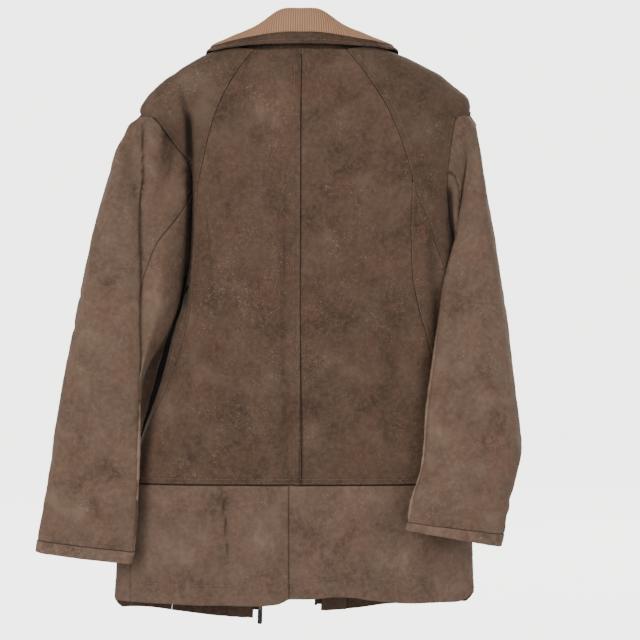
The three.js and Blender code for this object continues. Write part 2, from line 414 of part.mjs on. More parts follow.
for (const s of [1, -1]) {
  const n = s > 0 ? 'left' : 'right';
  const Z = zipFrame(s);
  const edge = (d) => (v) => aFront(v > -93 ? Math.abs(neckFrontX(s)(v)) * s + s * 1 : zipX(s)(v) + s * d, v);
  const hx = (d) => (v) => aFront(hingeX(s)(v) - s * d, v);
  add('front_panel_' + n, strip(FRONT_ROWS, edge(7), hx(0), 6, 0, -T_LEATHER), leather(0x71594c));
  add('front_facing_' + n, strip(FRONT_ROWS.filter(v => v < -100), edge(7), v => aFront(zipX(s)(v) + s * Math.min(45, (Math.abs(hingeX(s)(v) - zipX(s)(v)) - 3)), v), 2, -4.3, -5.5), leather(0x685145));
  add('front_lining_' + n, strip([-345, ...LOW_ROWS.slice(1), -665, -700, -735, -770], v => aFront(zipX(s)(v) + s * 45.6, v), hx(1.5), 2, -4.3, -5.2), satin);
  add('zip_tape_' + n, zipPrism(Z, rect(-18, 1, 2, Z.len), -2.9, -2.1), tapeCloth);
  add('zip_chain_' + n, zipPrism(Z, comb(Z.len - 16, s > 0 ? 6 : 10).map(([a, b]) => [a, b + 10]), -1.9, 0.6), brassy);
  add('zip_top_stop_' + n, zipPrism(Z, rect(-1.4, 3.6, Z.len - 5.7, Z.len - 1), -1.9, 0.9), brassy);
  // pocket welt on the outside, bag behind
  const WR = [-470, -490, -530, -565, -598];
  const wx = (d) => (v) => aFront(s * (lerp(100, 122, (-470 - v) / 128) + d) + (s < 0 ? 6 : 0), v);
  add('pocket_welt_' + n, strip(WR, wx(0), wx(14), 2, 2.2, 0.25), leather(0x6a5447));
  add('pocket_bag_' + n, strip([-450, -490, -530, -565, -600, -628, -665, -700], v => aFront(zipX(s)(v) + s * 24, v), v => aFront(hingeX(s)(v) - s * 6, v), 2, -2.0, -3.0), { color: 0x8b8172, roughness: 0.9, metalness: 0 });
}
{
  const Z = zipFrame(1);
  add('zip_retaining_box', zipPrism(Z, rect(-1.4, 5.4, 2, 9.7), -1.9, 1.0), brassy);
  const s = new THREE.Shape();
  // slider: two plates and a nose, as one C-shaped section swept 12 mm along the chain
  const section = [[-2.6, 0.9], [-2.6, 2.0], [7.4, 2.0], [7.4, -4.5], [-2.6, -4.5], [-2.6, -3.4], [4.8, -3.4], [4.8, 0.9]];
  const pos = [], idx = [], N = section.length;
  for (const b of [10.2, 22.2]) for (const [a, c] of section) { const p = zipPoint(Z, a, b, c); pos.push(p.x, p.y, p.z); }
  const tri = THREE.ShapeUtils.triangulateShape(section.map(([a, b]) => new THREE.Vector2(a, b)), []);
  for (const [i, j, k] of tri) { idx.push(i, j, k); idx.push(N + i, N + k, N + j); }
  const area = section.reduce((A, p, i) => { const q = section[(i + 1) % N]; return A + p[0] * q[1] - q[0] * p[1]; }, 0);
  for (let i = 0; i < N; i++) { const j = (i + 1) % N; if (area > 0) idx.push(j, i, N + i, j, N + i, N + j); else idx.push(i, j, N + j, i, N + j, N + i); }
  let vol = 0; const P = (k) => V(pos[3 * k], pos[3 * k + 1], pos[3 * k + 2]); const o = P(0);
  for (let k = 0; k < idx.length; k += 3) vol += P(idx[k]).sub(o).dot(P(idx[k + 1]).sub(o).cross(P(idx[k + 2]).sub(o)));
  if (vol < 0) for (let k = 0; k < idx.length; k += 3) [idx[k + 1], idx[k + 2]] = [idx[k + 2], idx[k + 1]];
  const g = new THREE.BufferGeometry();
  g.setAttribute('position', new THREE.Float32BufferAttribute(pos, 3)); g.setIndex(idx); g.computeVertexNormals();
  add('zip_slider', g, brassy);
  add('zip_pull', zipPrism(Z, [[-0.7, 13], [-0.7, -18], [0.6, -20], [5.0, -20], [6.3, -18], [6.3, 13], [4.5, 15], [1.1, 15]], 2.5, 3.9), { color: 0x4b4b52, roughness: 0.5, metalness: 0.3 });
}
{
  const Z = zipFrame(-1);
  add('zip_insert_pin', zipPrism(Z, rect(-1.4, 2.6, 0, 9.7), -1.9, 0.6), brassy);
}

export default group;
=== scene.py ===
# Zip-front leather jacket with a corduroy collar, hanging open. Metres in Blender, millimetres in the tables.
import math
import numpy as np
import bpy
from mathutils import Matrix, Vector

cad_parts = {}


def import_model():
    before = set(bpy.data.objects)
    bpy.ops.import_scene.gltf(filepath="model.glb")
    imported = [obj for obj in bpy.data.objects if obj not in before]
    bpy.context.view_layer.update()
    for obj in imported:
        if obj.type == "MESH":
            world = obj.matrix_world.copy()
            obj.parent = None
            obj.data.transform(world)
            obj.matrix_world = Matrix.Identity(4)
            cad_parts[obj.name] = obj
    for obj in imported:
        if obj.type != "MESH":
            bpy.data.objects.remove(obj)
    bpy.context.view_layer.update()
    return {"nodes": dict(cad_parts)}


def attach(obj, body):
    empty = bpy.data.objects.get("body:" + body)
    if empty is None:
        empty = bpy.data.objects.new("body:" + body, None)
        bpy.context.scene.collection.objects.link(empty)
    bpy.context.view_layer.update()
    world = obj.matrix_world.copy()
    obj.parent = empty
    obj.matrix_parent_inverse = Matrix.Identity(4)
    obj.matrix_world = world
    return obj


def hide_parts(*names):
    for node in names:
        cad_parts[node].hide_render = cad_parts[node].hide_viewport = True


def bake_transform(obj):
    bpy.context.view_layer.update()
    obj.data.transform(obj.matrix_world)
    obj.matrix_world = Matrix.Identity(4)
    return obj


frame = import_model()

# ------------------------------------------------------------------ camera and picture plane
D = 2400.0                       # distance of the camera from the plane y = 0
MM = 1.45                        # millimetres to a picture unit in that plane, 640 across
XC, ZC = -27.55, -394.4


def world(px, py, y=0.0):
    k = (D - y) / D
    return np.array([XC + ((301 - px) * MM - XC) * k, y, ZC + ((48 - py) * MM - ZC) * k])


def plane(p):
    k = (D - p[..., 1]) / D
    return 301 - ((p[..., 0] - XC) / k + XC) / MM, 48 - ((p[..., 2] - ZC) / k + ZC) / MM


# ------------------------------------------------------------------ small numeric tools
class Curve:
    """Smooth, never overshooting, through (key, value) pairs."""

    def __init__(self, pairs):
        p = np.array(sorted((float(a), float(b)) for a, b in pairs))
        keep = np.concatenate([[True], np.diff(p[:, 0]) > 1e-6])
        self.x, self.y = p[keep, 0], p[keep, 1]
        h, d = np.diff(self.x), np.diff(self.y) / np.diff(self.x)
        m = np.zeros(len(self.x))
        if len(d) > 1:
            same = d[:-1] * d[1:] > 0
            w1, w2 = 2 * h[1:] + h[:-1], h[1:] + 2 * h[:-1]
            with np.errstate(divide="ignore", invalid="ignore"):
                m[1:-1] = np.where(same, (w1 + w2) / (w1 / d[:-1] + w2 / d[1:]), 0)
        m[0], m[-1] = d[0], d[-1]
        self.m = m

    def __call__(self, k):
        k = np.clip(np.asarray(k, float), self.x[0], self.x[-1])
        i = np.clip(np.searchsorted(self.x, k) - 1, 0, len(self.x) - 2)
        h = self.x[i + 1] - self.x[i]
        t = (k - self.x[i]) / h
        return ((1 + 2 * t) * (1 - t) ** 2 * self.y[i] + t * (1 - t) ** 2 * h * self.m[i]
                + t * t * (3 - 2 * t) * self.y[i + 1] + t * t * (t - 1) * h * self.m[i + 1])


def swap(t):
    return [(b, a) for a, b in t]


def smooth(t):
    t = np.clip(t, 0, 1)
    return t * t * (3 - 2 * t)


def lerp(a, b, t):
    return a + (b - a) * t


_R = np.random.RandomState(11).rand(48, 48, 48) * 2 - 1


def noise(x, y, z):
    x, y, z = np.broadcast_arrays(x, y, z)
    i, j, k = np.floor(x).astype(int), np.floor(y).astype(int), np.floor(z).astype(int)
    u, v, w = smooth(x - i), smooth(y - j), smooth(z - k)
    g = lambda a, b, c: _R[(i + a) % 48, (j + b) % 48, (k + c) % 48]
    r = 0
    for a in (0, 1):
        for b in (0, 1):
            for c in (0, 1):
                r = r + g(a, b, c) * (u if a else 1 - u) * (v if b else 1 - v) * (w if c else 1 - w)
    return r


def grid_normals(P, ring=False):
    if ring:
        du = np.roll(P, -1, 1) - np.roll(P, 1, 1)
    else:
        du = np.gradient(P, axis=1)
    dv = np.gradient(P, axis=0)
    n = np.cross(du, dv)
    l = np.linalg.norm(n, axis=2, keepdims=True)
    return n / np.maximum(l, 1e-9)

# ------------------------------------------------------------------ tables: outlines and seam lines, millimetres
SIDE_L = [[56.6, 0],[49.3, 23.2],[33.4, 45],[14.5, 69.6],[3.6, 94.2],[-0.7, 105.9],[-6.5, 123.3],[-14.5, 140.7],[-23.2, 158],[-31.9, 174],[-40.6, 188.5],[-49.3, 200.1],[-58, 208.8],[-66.7, 216],[-75.4, 221.8],[-91.4, 229.1],[-99, 225.5],[-110.2, 215],[-120, 204.5],[-130.5, 192.5],[-140, 184],[-150, 177.8],[-165, 171],[-184, 167.9],[-206, 167.2],[-236, 167.0],[-279, 167.4],[-311, 168.8],[-350, 171.5],[-377, 175],[-421.9, 185.6],[-455.3, 194.3],[-510.4, 211],[-568.4, 232],[-633.6, 252.3],[-742.4, 266.8],[-804.8, 271.1],[-843.9, 272.6]]
SIDE_R = [[56.6, 0],[49.3, -24.6],[33.4, -47.9],[17.4, -71],[6.5, -94.2],[1.4, -111.6],[-5.8, -129],[-13.8, -149.3],[-23.2, -169.7],[-31.9, -187],[-40.6, -203],[-49.3, -213.2],[-58, -221.8],[-66.7, -230.5],[-76, -237.8],[-84, -238.5],[-97.1, -236],[-123.2, -230],[-152.2, -227],[-189.9, -224],[-218.9, -222],[-245, -221.5],[-310.3, -221],[-365.4, -219],[-423.4, -220],[-480, -225],[-540, -233],[-600, -241],[-633.6, -245],[-742.4, -249.4],[-804.8, -250.8],[-843.9, -251.6]]
DEPTH_BACK = [[26.1, 54],[0.0, 58],[-31.9, 64],[-75.4, 70],[-147.9, 74],[-249.4, 74],[-365.4, 69],[-510.4, 60],[-633.6, 53],[-742.4, 48],[-804.8, 46],[-858.4, 45]]
DEPTH_FRONT = [[26.1, 44],[0.0, 50],[-46.4, 57],[-92.8, 60],[-819.2, 48],[-858.4, 47.35]]
CB = [[-2.1, -13.0],[-0.7, -111.9],[-0.7, -224.9],[-0.0, -366.1],[-0.7, -507.4],[-1.4, -626.8]]
SEAM_L = [[67.6, -11.1],[86.0, -36.6],[103.8, -66.4],[120.1, -103.3],[132.9, -145.9],[140.0, -175.8],[145.7, -198.5],[148.5, -231.1],[149.9, -266.6],[152.1, -302.1],[154.2, -341.9],[158.4, -380.2],[165.5, -414.3],[175.5, -448.4],[186.8, -479.6],[199.6, -508.0],[208.7, -526.4],[219.5, -554.8],[230.9, -586.1],[240.8, -630.1]]
SEAM_R = [[-63.0, -9.6],[-80.9, -30.9],[-98.5, -55.9],[-117.0, -84.9],[-131.2, -113.3],[-144.0, -145.9],[-153.5, -175.8],[-158.2, -201.3],[-156.8, -238.2],[-156.3, -266.6],[-156.8, -302.1],[-158.9, -334.8],[-162.4, -356.1],[-168.1, -383.0],[-176.6, -410.0],[-186.0, -439.3],[-196.5, -472.5],[-207.9, -508.0],[-219.2, -550.6],[-229.2, -593.2],[-236.3, -625.8]]
BRANCH_L = [[147.1, -196.8],[151.4, -229.7],[158.6, -279.8],[164.3, -330.0],[168.6, -365.8]]
BRANCH_R = [[-159.3, -199.7],[-165.0, -216.8],[-183.6, -257.7],[-197.9, -297.9],[-212.3, -340.0],[-223.7, -372.9]]
ARMHOLE_L = [[227.0, -93.9],[216.9, -98.2],[202.5, -112.6],[188.1, -132.7],[176.6, -150.0],[169.4, -167.2],[166.9, -190.2],[166.1, -236.2],[166.6, -279.4],[168.0, -311.0]]
ARMHOLE_R = [[-236.6, -80.8],[-223.7, -93.7],[-216.6, -126.6],[-213.0, -155.3],[-209.4, -192.5],[-210.8, -221.1],[-213.7, -246.9],[-216.6, -279.8],[-220.9, -311.4]]
HEM_BACK = [[266.2, -797.9],[200.6, -800.0],[129.3, -801.5],[60.9, -802.2],[30.9, -799.3],[15.2, -792.2],[-16.1, -792.2],[-48.9, -789.4],[-70.3, -789.4],[-96.0, -793.6],[-150.2, -798.9],[-222.9, -798.9],[-237.1, -795.9],[-247.1, -789.4]]
HEM_FRONT_L = [[276.9, -812.6],[253.2, -814.1],[232.5, -815.6],[180.8, -823.8],[117.3, -831.8],[70.0, -833.9]]
HEM_FRONT_R = [[-255.1, -803.7],[-227.1, -806.7],[-190.1, -809.7],[-128.0, -813.6],[-79.3, -820.0],[-26.1, -823.8]]
NECK_FRONT_L = [[96.5, 10.3],[90.6, -1.5],[81.8, -22.1],[71.4, -45.8],[58.1, -69.4],[46.3, -84.2]]
NECK_FRONT_R = [[-95.5, 13.3],[-92.5, -1.5],[-85.2, -22.1],[-74.8, -44.3],[-61.5, -67.9],[-51.2, -82.7]]

# ------------------------------------------------------------------ surface of the body
ZW, ZH = -629.0, -804.0          # waist seam and nominal hem
f_side_l, f_side_r = Curve(SIDE_L), Curve(SIDE_R)
f_deep_b, f_deep_f = Curve(DEPTH_BACK), Curve(DEPTH_FRONT)
f_hem_b, f_hem_l, f_hem_r = Curve(HEM_BACK), Curve(HEM_FRONT_L), Curve(HEM_FRONT_R)
c_mid, c_seam = Curve(swap(CB)), {1: Curve(swap(SEAM_L)), -1: Curve(swap(SEAM_R))}
c_branch = {1: Curve(swap(BRANCH_L)), -1: Curve(swap(BRANCH_R))}
c_arm = {1: Curve(swap(ARMHOLE_L)), -1: Curve(swap(ARMHOLE_R))}
c_neckf = {1: Curve(swap(NECK_FRONT_L)), -1: Curve(swap(NECK_FRONT_R))}
c_neckb = Curve([[-9.8, 66], [-7.8, 80.6], [-4.5, 92], [-1, 94]])
FLAT, FN = 0.45, 2.3


def back_n(z):
    return 2.5 + 0.5 * smooth((-z - 60) / 60) * (1 - smooth((-z - 300) / 120))


def mid_half(v):
    l, r = f_side_l(v), f_side_r(v)
    return (l + r) / 2, (l - r) / 2


def surf(a, v):
    a, v = np.broadcast_arrays(np.asarray(a, float), np.asarray(v, float))
    s, m = np.where(a >= 0, 1.0, -1.0), np.minimum(np.abs(a), 2)
    nb = back_n(v)
    p = np.clip(m, 0, 1) * math.pi / 2
    ub, fb = np.sin(p) ** (2 / nb), np.maximum(np.cos(p), 1e-9) ** (2 / nb)
    t = np.clip(2 - m, 0, 1)
    q = np.clip((t - 0.3) / 0.7, 0, 1) * math.pi / 2
    uf = np.where(t < 0.3, FLAT * t / 0.3, FLAT + (1 - FLAT) * np.sin(q) ** (2 / FN))
    ff = np.where(t < 0.3, 1, np.maximum(np.cos(q), 1e-9) ** (2 / FN))
    back = m <= 1
    u, f = np.where(back, ub, uf), np.where(back, fb, ff)
    xc, hw = mid_half(v)
    x = xc + s * hw * u
    side = np.where(s > 0, f_hem_b(270), f_hem_b(-250))
    zh = np.where(back, f_hem_b(x), np.where(x > 0, f_hem_l(x), f_hem_r(x)))
    zh = np.where(back, lerp(side, zh, np.clip((1 - m) * 8, 0, 1)), lerp(side, zh, np.clip((m - 1) * 6, 0, 1)))
    z = np.where(v < ZW, ZW + (v - ZW) / (ZH - ZW) * (zh - ZW), v)
    d = np.where(back, f_deep_b(z), -f_deep_f(z))
    return np.stack([x, d * f, z], -1)


def a_back(x, v):
    xc, hw = mid_half(v)
    u = np.clip((x - xc) / hw, -1, 1)
    return np.sign(u) * np.arcsin(np.abs(u) ** (back_n(np.asarray(v, float)) / 2)) / (math.pi / 2)


def a_front(x, v):
    xc, hw = mid_half(v)
    u = np.clip((x - xc) / hw, -1, 1)
    m = np.abs(u)
    t = np.where(m < FLAT, 0.3 * m / FLAT,
                 0.3 + 0.7 * np.arcsin(np.clip((m - FLAT) / (1 - FLAT), 0, 1) ** (FN / 2)) / (math.pi / 2))
    return np.where(u >= 0, 1, -1) * (2 - t)


def normal_of(fn, a, v, ea=0.004, ev=1.5):
    du = fn(a + ea, v) - fn(a - ea, v)
    dv = fn(a, v + ev) - fn(a, v - ev)
    n = np.cross(du, dv)
    n /= np.maximum(np.linalg.norm(n, axis=-1, keepdims=True), 1e-9)
    p = fn(a, v)
    xc, _ = mid_half(v)
    flip = (n[..., 0] * (p[..., 0] - xc) + n[..., 1] * p[..., 1] * 4) < 0
    return np.where(flip[..., None], -n, n), p


def bump(x, x0, w):
    return np.exp(-((x - x0) / w) ** 2)


def gate(y, lo, hi, soft=18.0):
    return smooth((y - lo) / soft + 0.5) * (1 - smooth((y - hi) / soft + 0.5))


c_f1 = Curve([[196, 285.5], [240, 285], [286, 283.5], [330, 283], [400, 284], [485, 285]])
c_f3 = Curve([[194, 203], [225, 207], [280, 212], [346, 216], [470, 222], [520, 225], [555, 227]])
c_f5 = Curve([[66, 174], [84, 178.5], [110, 184], [130, 186.8], [150, 187], [220, 187.5], [300, 183]])
c_f5d = Curve([[62, 0], [80, 2.5], [96, 5.5], [112, 9], [130, 12], [200, 12], [260, 9], [300, 5], [340, 0]])
c_princ_l = Curve([(48 - z / MM, 301 - x / MM) for x, z in SEAM_L])
c_princ_r = Curve([(48 - z / MM, 301 - x / MM) for x, z in SEAM_R])


def relief_back(px, py, p):
    """Folds and creases of the back, millimetres outward, in picture-plane coordinates."""
    d = -3.6 * bump(px, c_f1(py), 5.5) * gate(py, 190, 478, 50)
    d += 1.3 * bump(px, c_f1(py) - 9, 6) * gate(py, 200, 470, 50)
    # raised strip beside the centre seam
    strip_on = smooth((px - 293.0) / 1.2) * (1 - smooth((px - 300.6) / 0.8))
    d += 0.9 * strip_on * gate(py, 52, 478, 3)
    d -= 1.4 * bump(px, 300.9, 0.9) * gate(py, 50, 479, 3)
    # left princess seam roll and crease
    d -= 1.7 * bump(px, c_f3(py), 1.5) * gate(py, 205, 545, 60)
    roll = smooth((px - (c_princ_l(py) - 0)) / 8) * (1 - smooth((px - c_f3(py)) / 6))
    d += 2.2 * roll * gate(py, 230, 470, 70)
    # shoulder folds
    d -= 2.0 * bump(px - (160 - (py - 92) * 1.0), 0, 4) * gate(py, 90, 116, 10)
    d -= c_f5d(py) * bump(px, c_f5(py), 5.2) * smooth((px - 150) / 20)
    # soft upright waves
    for x0, w, a, lo, hi in ((262, 13, 2.3, 170, 470), (330, 12, 2.0, 200, 478), (352, 14, -2.2, 120, 430),
                             (377, 12, 2.4, 230, 470), (238, 11, -1.9, 260, 470), (398, 9, -1.8, 260, 440), (190, 9, 2.0, 330, 470)):
        d += a * bump(px, x0 + 3.5 * np.sin(py / 47.0 + x0), w) * gate(py, lo, hi, 90)
    # pull at the right armhole
    d -= 4.5 * bump(px, 436.5 + (py - 253) * 0.05, 6.5) * gate(py, 225, 400, 60)
    d += 2.2 * bump(px, 424 - (py - 300) * 0.04, 6) * gate(py, 230, 400, 60)
    # skirt: the left half laps over the right
    sk = smooth((py - 480) / 3)
    d += sk * (1.6 * bump(px, 285, 3.2) - 2.6 * bump(px, 292.5, 3.0) + 1.0 * bump(px, 300, 4)) * gate(py, 482, 586, 20)
    for x0, w, a in ((166, 9, -1.6), (196, 10, 2.0), (222, 8, -2.0), (252, 12, 1.8), (331, 10, -1.7), (356, 12, 1.9), (392, 10, -1.8), (418, 10, 1.6), (444, 8, -1.6)):
        d += sk * a * bump(px, x0 + 3 * np.sin(py / 31.0 + x0), w) * smooth((py - 478) / 40)
    line = 221.6 + (py - 487) * 0.087
    d += (1.5 * bump(px, line + 4, 4) - 2.4 * bump(px, line, 1.6)) * gate(py, 490, 556, 12)
    # hem puckers
    hem = smooth((py - 574) / 7)
    d += hem * 0.75 * np.sin(px * 0.55 + 2 * np.sin(px * 0.13) + (py - 590) * 0.12) * (0.5 + 0.5 * noise(px / 23, 3.1, 0.7))
    d += hem * 1.5 * noise(px / 9.0 + py / 16.0, py / 7.0, 2.2) * (bump(px, 201, 20) + bump(px, 328, 34) + 0.5 * bump(px, 420, 30))
    d -= 1.6 * bump(px, 130.0, 1.3) * gate(py, 560, 603, 6) - 1.0 * bump(px, 122, 4) * gate(py, 560, 603, 10)
    # waist seam step
    d += 0.7 * bump(py, 476.6, 1.6) * (px > 140) * (px < 472)
    return d


def relief(a, v, p):
    back = np.abs(a) <= 1
    px, py = plane(p)
    X, Y, Z = p[..., 0], p[..., 1], p[..., 2]
    d = 1.5 * noise(X / 62 + 7, Y / 80 + 1, Z / 150 + 3) + 0.9 * noise(X / 27 + 2, Y / 40, Z / 60 + 9)
    d = d + 0.42 * noise(X / 11, Y / 14 + 5, Z / 16) + 0.2 * noise(X / 4.6 + 3, Y / 6, Z / 5.5)
    side_fade = smooth((1.06 - np.abs(a)) / 0.1)
    d = d + np.where(back, relief_back(px, py, p), 0) * side_fade
    # front folds
    fr = smooth((np.abs(a) - 1.06) / 0.12)
    fx = np.abs(X - mid_half(Z)[0])
    waves = 0
    for x0, w, amp, lo, hi in ((150, 14, -3.2, -700, -330), (118, 12, 2.2, -780, -420), (176, 12, 2.4, -780, -330), (205, 12, -2.8, -800, -560), (96, 10, -1.8, -420, -200), (132, 12, 2.0, -400, -150)):
        waves = waves + amp * bump(fx, x0 + 5 * np.sin(Z / 70 + x0) + (-Z - 400) * 0.04, w) * gate(-Z, -hi, -lo, 120)
    d = d + fr * waves * 0.8
    near = smooth((-Z + 20) / 40)          # calm where the collar sits
    d = d * (0.35 + 0.65 * near)
    # rounded shoulder tips, and the left side filling out under the arm
    m = np.abs(a)
    d = d + bump(m, 1.0, 0.17) * np.where(a > 0, 5.5, 8.0) * smooth((-Z - 50) / 44) * (1 - smooth((-Z - 100) / 60))
    d = d + np.where(a > 0, 19.0 + 18.0 * bump(-Z, 470, 66), 0) * bump(m, 1.10, 0.085) * (m > 1) * gate(-Z, 372, 560, 110)
    return d


def skin(a, v):
    a, v = np.broadcast_arrays(np.asarray(a, float), np.asarray(v, float))
    n, p = normal_of(surf, a, v)
    return p + n * relief(a, v, p)[..., None]


# ------------------------------------------------------------------ mesh building
def to_mesh(name, verts, faces, smooth_faces=True, sharp=None):
    me = bpy.data.meshes.new(name)
    verts = np.asarray(verts, np.float64).reshape(-1, 3) / 1000.0
    sizes = np.array([len(f) for f in faces]) if isinstance(faces, list) else np.full(len(faces), faces.shape[1])
    flat = np.concatenate([np.asarray(f).ravel() for f in faces]) if isinstance(faces, list) else faces.ravel()
    me.vertices.add(len(verts))
    me.vertices.foreach_set("co", verts.ravel())
    me.loops.add(len(flat))
    me.loops.foreach_set("vertex_index", flat.astype(np.int32))
    me.polygons.add(len(sizes))
    me.polygons.foreach_set("loop_start", np.concatenate([[0], np.cumsum(sizes)[:-1]]).astype(np.int32))
    me.polygons.foreach_set("loop_total", sizes.astype(np.int32))
    me.polygons.foreach_set("use_smooth", np.full(len(sizes), smooth_faces))
    me.update(calc_edges=True)
    me.validate()
    ob = bpy.data.objects.new(name, me)
    bpy.context.collection.objects.link(ob)
    return ob


def outward(verts, faces):
    """Turns all quads round where the closed mesh would be inside out."""
    v = np.asarray(verts).reshape(-1, 3)
    o = v.mean(0)
    a, b, c, d = (v[faces[:, i]] - o for i in range(4))
    vol = np.einsum("ij,ij->i", a, np.cross(b, c)).sum() + np.einsum("ij,ij->i", a, np.cross(c, d)).sum()
    return faces if vol > 0 else faces[:, ::-1]


def shell_faces(R, C, ring=False, cap=True):
    i, j = np.meshgrid(np.arange(R - 1), np.arange(C if ring else C - 1), indexing="ij")
    i, j = i.ravel(), j.ravel()
    jn = (j + 1) % C
    O = lambda a, b: a * C + b
    I = lambda a, b: R * C + a * C + b
    F = [np.stack([O(i, j), O(i, jn), O(i + 1, jn), O(i + 1, j)], 1),
         np.stack([I(i, j), I(i + 1, j), I(i + 1, jn), I(i, jn)], 1)]
    j = np.arange(C if ring else C - 1)
    jn = (j + 1) % C
    z, e = np.zeros_like(j), np.full_like(j, R - 1)
    F += [np.stack([O(z, j), I(z, j), I(z, jn), O(z, jn)], 1), np.stack([O(e, j), O(e, jn), I(e, jn), I(e, j)], 1)]
    if not ring:
        i = np.arange(R - 1)
        z, e = np.zeros_like(i), np.full_like(i, C - 1)
        F += [np.stack([O(i, z), O(i + 1, z), I(i + 1, z), I(i, z)], 1), np.stack([O(i, e), I(i, e), I(i + 1, e), O(i + 1, e)], 1)]
    return np.concatenate(F)


def shell(name, outer, inner, ring=False):
    R, C = outer.shape[:2]
    v = np.concatenate([outer.reshape(-1, 3), inner.reshape(-1, 3)])
    return to_mesh(name, v, outward(v, shell_faces(R, C, ring)))


def fractions(width, step, edge=(0.9, 2.8)):
    """Positions 0..1 along a width, finer beside both edges."""
    w = max(width, 4 * edge[-1])
    n = max(int(round((w - 2 * edge[-1]) / step)), 2)
    mid = np.linspace(edge[-1] / w, 1 - edge[-1] / w, n + 1)
    e = np.array(edge[:-1]) / w
    return np.concatenate([[0], e, mid, 1 - e[::-1], [1]])


def edge_drop(n, amounts=(0.85, 0.10)):
    d = np.zeros(n)
    d[0] = d[-1] = -amounts[0]
    d[1] = d[-2] = -amounts[1]
    return d


PANELS = {}


# painted shade in the seam grooves: dark values on the two outer rows or columns of each cut edge
def seam_edge_shade(dc, dr):
    c, r = np.zeros(len(dc)), np.zeros(len(dr))
    for arr, d in ((c, dc), (r, dr)):
        if d[0] < 0:
            arr[0], arr[1] = 0.52, 0.08
        if d[-1] < 0:
            arr[-1], arr[-2] = 0.52, 0.08
    return np.maximum(c[None, :], r[:, None])


# stores painted shade (seam grooves, sleeve pits, fold creases) as the vertex value "edge"
def painted_shade_values(ob, g):
    at = ob.data.attributes.new("edge", "FLOAT", "POINT")
    at.data.foreach_set("value", np.concatenate([g.ravel(), g.ravel()]).astype(np.float32))


def pit_mask(px, py):
    """Where the sleeve hangs against the body and no light reaches."""
    d = 1.1 * bump(px, c_f5(py) + 2.2, 4.2) * gate(py, 112, 305, 26)
    d += 1.0 * bump(px, 449.5 + (py - 195) * 0.06, 3.6) * gate(py, 186, 244, 20)
    # painted shade along the crease down the left skirt
    line = 221.6 + (py - 487) * 0.087
    d += 0.5 * bump(px, line, 1.3) * gate(py, 490, 556, 10)
    return np.clip(d, 0, 1)


def panel(name, v_top, v_low, a_in, a_out, width, step=3.0, thick=1.6, offset=0.0, rows_edge=True, cols_edge=(True, True),
          fn=None, v_edge=(True, True), vstep=None):
    """A closed panel of the body surface from v_top down to v_low between two edge functions."""
    fn = fn or skin
    tv = fractions(v_top - v_low, vstep or step)
    v = v_top + (v_low - v_top) * tv
    tc = fractions(width, step)
    A0, A1 = a_in(v), a_out(v)
    # keep a hair's gap to the neighbour
    L = np.linalg.norm(surf(A0, v) - surf(lerp(A0, A1, 0.1), v), axis=-1) / 0.1
    ins = np.clip(0.12 / np.maximum(L, 1), 0, 0.2)
    t = ins[:, None] + (1 - 2 * ins[:, None]) * tc[None, :]
    a = A0[:, None] * (1 - t) + A1[:, None] * t
    vv = np.broadcast_to(v[:, None], a.shape)
    n, p = normal_of(fn, a, vv, 0.003, 1.2)
    dc, dr = edge_drop(len(tc)), edge_drop(len(tv))
    if not cols_edge[0]:
        dc[:2] = 0
    if not cols_edge[1]:
        dc[-2:] = 0
    if not v_edge[0]:
        dr[:2] = 0
    if not v_edge[1]:
        dr[-2:] = 0
    drop = np.minimum(dc[None, :], dr[:, None])
    off = offset(p) if callable(offset) else np.full(p.shape[:2], float(offset))
    outer = p + n * (drop + off)[..., None]
    inner = p + n * (off - thick)[..., None]
    PANELS[name] = (a, vv)
    ob = shell(name, outer, inner)
    px, py = plane(p)
    # painted shade: the pits where the sleeve hangs against the body, joined with the seam-groove shade
    pit = np.where(np.abs(a) < 1.02, pit_mask(px, py), 0)
    painted_shade_values(ob, np.maximum(seam_edge_shade(dc, dr), pit))
    return ob


STITCH = {}


def polyline(P, pitch):
    seg = np.linalg.norm(np.diff(P, axis=0), axis=1)
    s = np.concatenate([[0], np.cumsum(seg)])
    n = max(int(s[-1] / pitch), 1)
    return s, n


def resample(P, s, at):
    return np.stack([np.interp(at, s, P[:, i]) for i in range(P.shape[1])], 1)


def stitches(key, P, N, pitch=3.7, length=2.7, r=0.31, lift=0.15, skip=0.0, seed=1):
    """Adds a row of thread stitches along points P with normals N to the group named key."""
    s, n = polyline(P, pitch)
    at = (np.arange(n) + 0.5) * pitch
    rng = np.random.RandomState(seed + len(STITCH.get(key, [])) * 7)
    keep = rng.rand(n) >= skip
    at = at[keep] + (rng.rand(keep.sum()) - 0.5) * 0.3
    at = at[(at > length / 2) & (at < s[-1] - length / 2)]
    if len(at) == 0:
        return
    a, b, m = resample(P, s, at - length / 2), resample(P, s, at + length / 2), resample(P, s, at)
    nn = resample(N, s, at)
    nn /= np.linalg.norm(nn, axis=1, keepdims=True)
    d = b - a
    d /= np.linalg.norm(d, axis=1, keepdims=True)
    side = np.cross(nn, d)
    side /= np.maximum(np.linalg.norm(side, axis=1, keepdims=True), 1e-9)
    up = np.cross(d, side)
    ang = np.linspace(0, 2 * math.pi, 6, endpoint=False)
    rings = []
    prof = ((0.0, 0.0, -0.35), (0.16, 0.85, 0.05), (0.5, 1.0, 0.22), (0.84, 0.85, 0.05), (1.0, 0.0, -0.35))
    verts = []
    for t, rad, h in prof:
        c = a + (b - a) * t + nn * (lift + h * 0.6)
        c += (m - (a + b) / 2) * (1 - (2 * t - 1) ** 2)
        if rad == 0:
            verts.append(c[:, None, :])
        else:
            verts.append(c[:, None, :] + r * rad * (side[:, None, :] * np.cos(ang)[None, :, None] + up[:, None, :] * np.sin(ang)[None, :, None] * 0.8))
    V = np.concatenate(verts, 1)          # each: 1 + 6*3 + 1 = 20
    STITCH.setdefault(key, []).append(V)


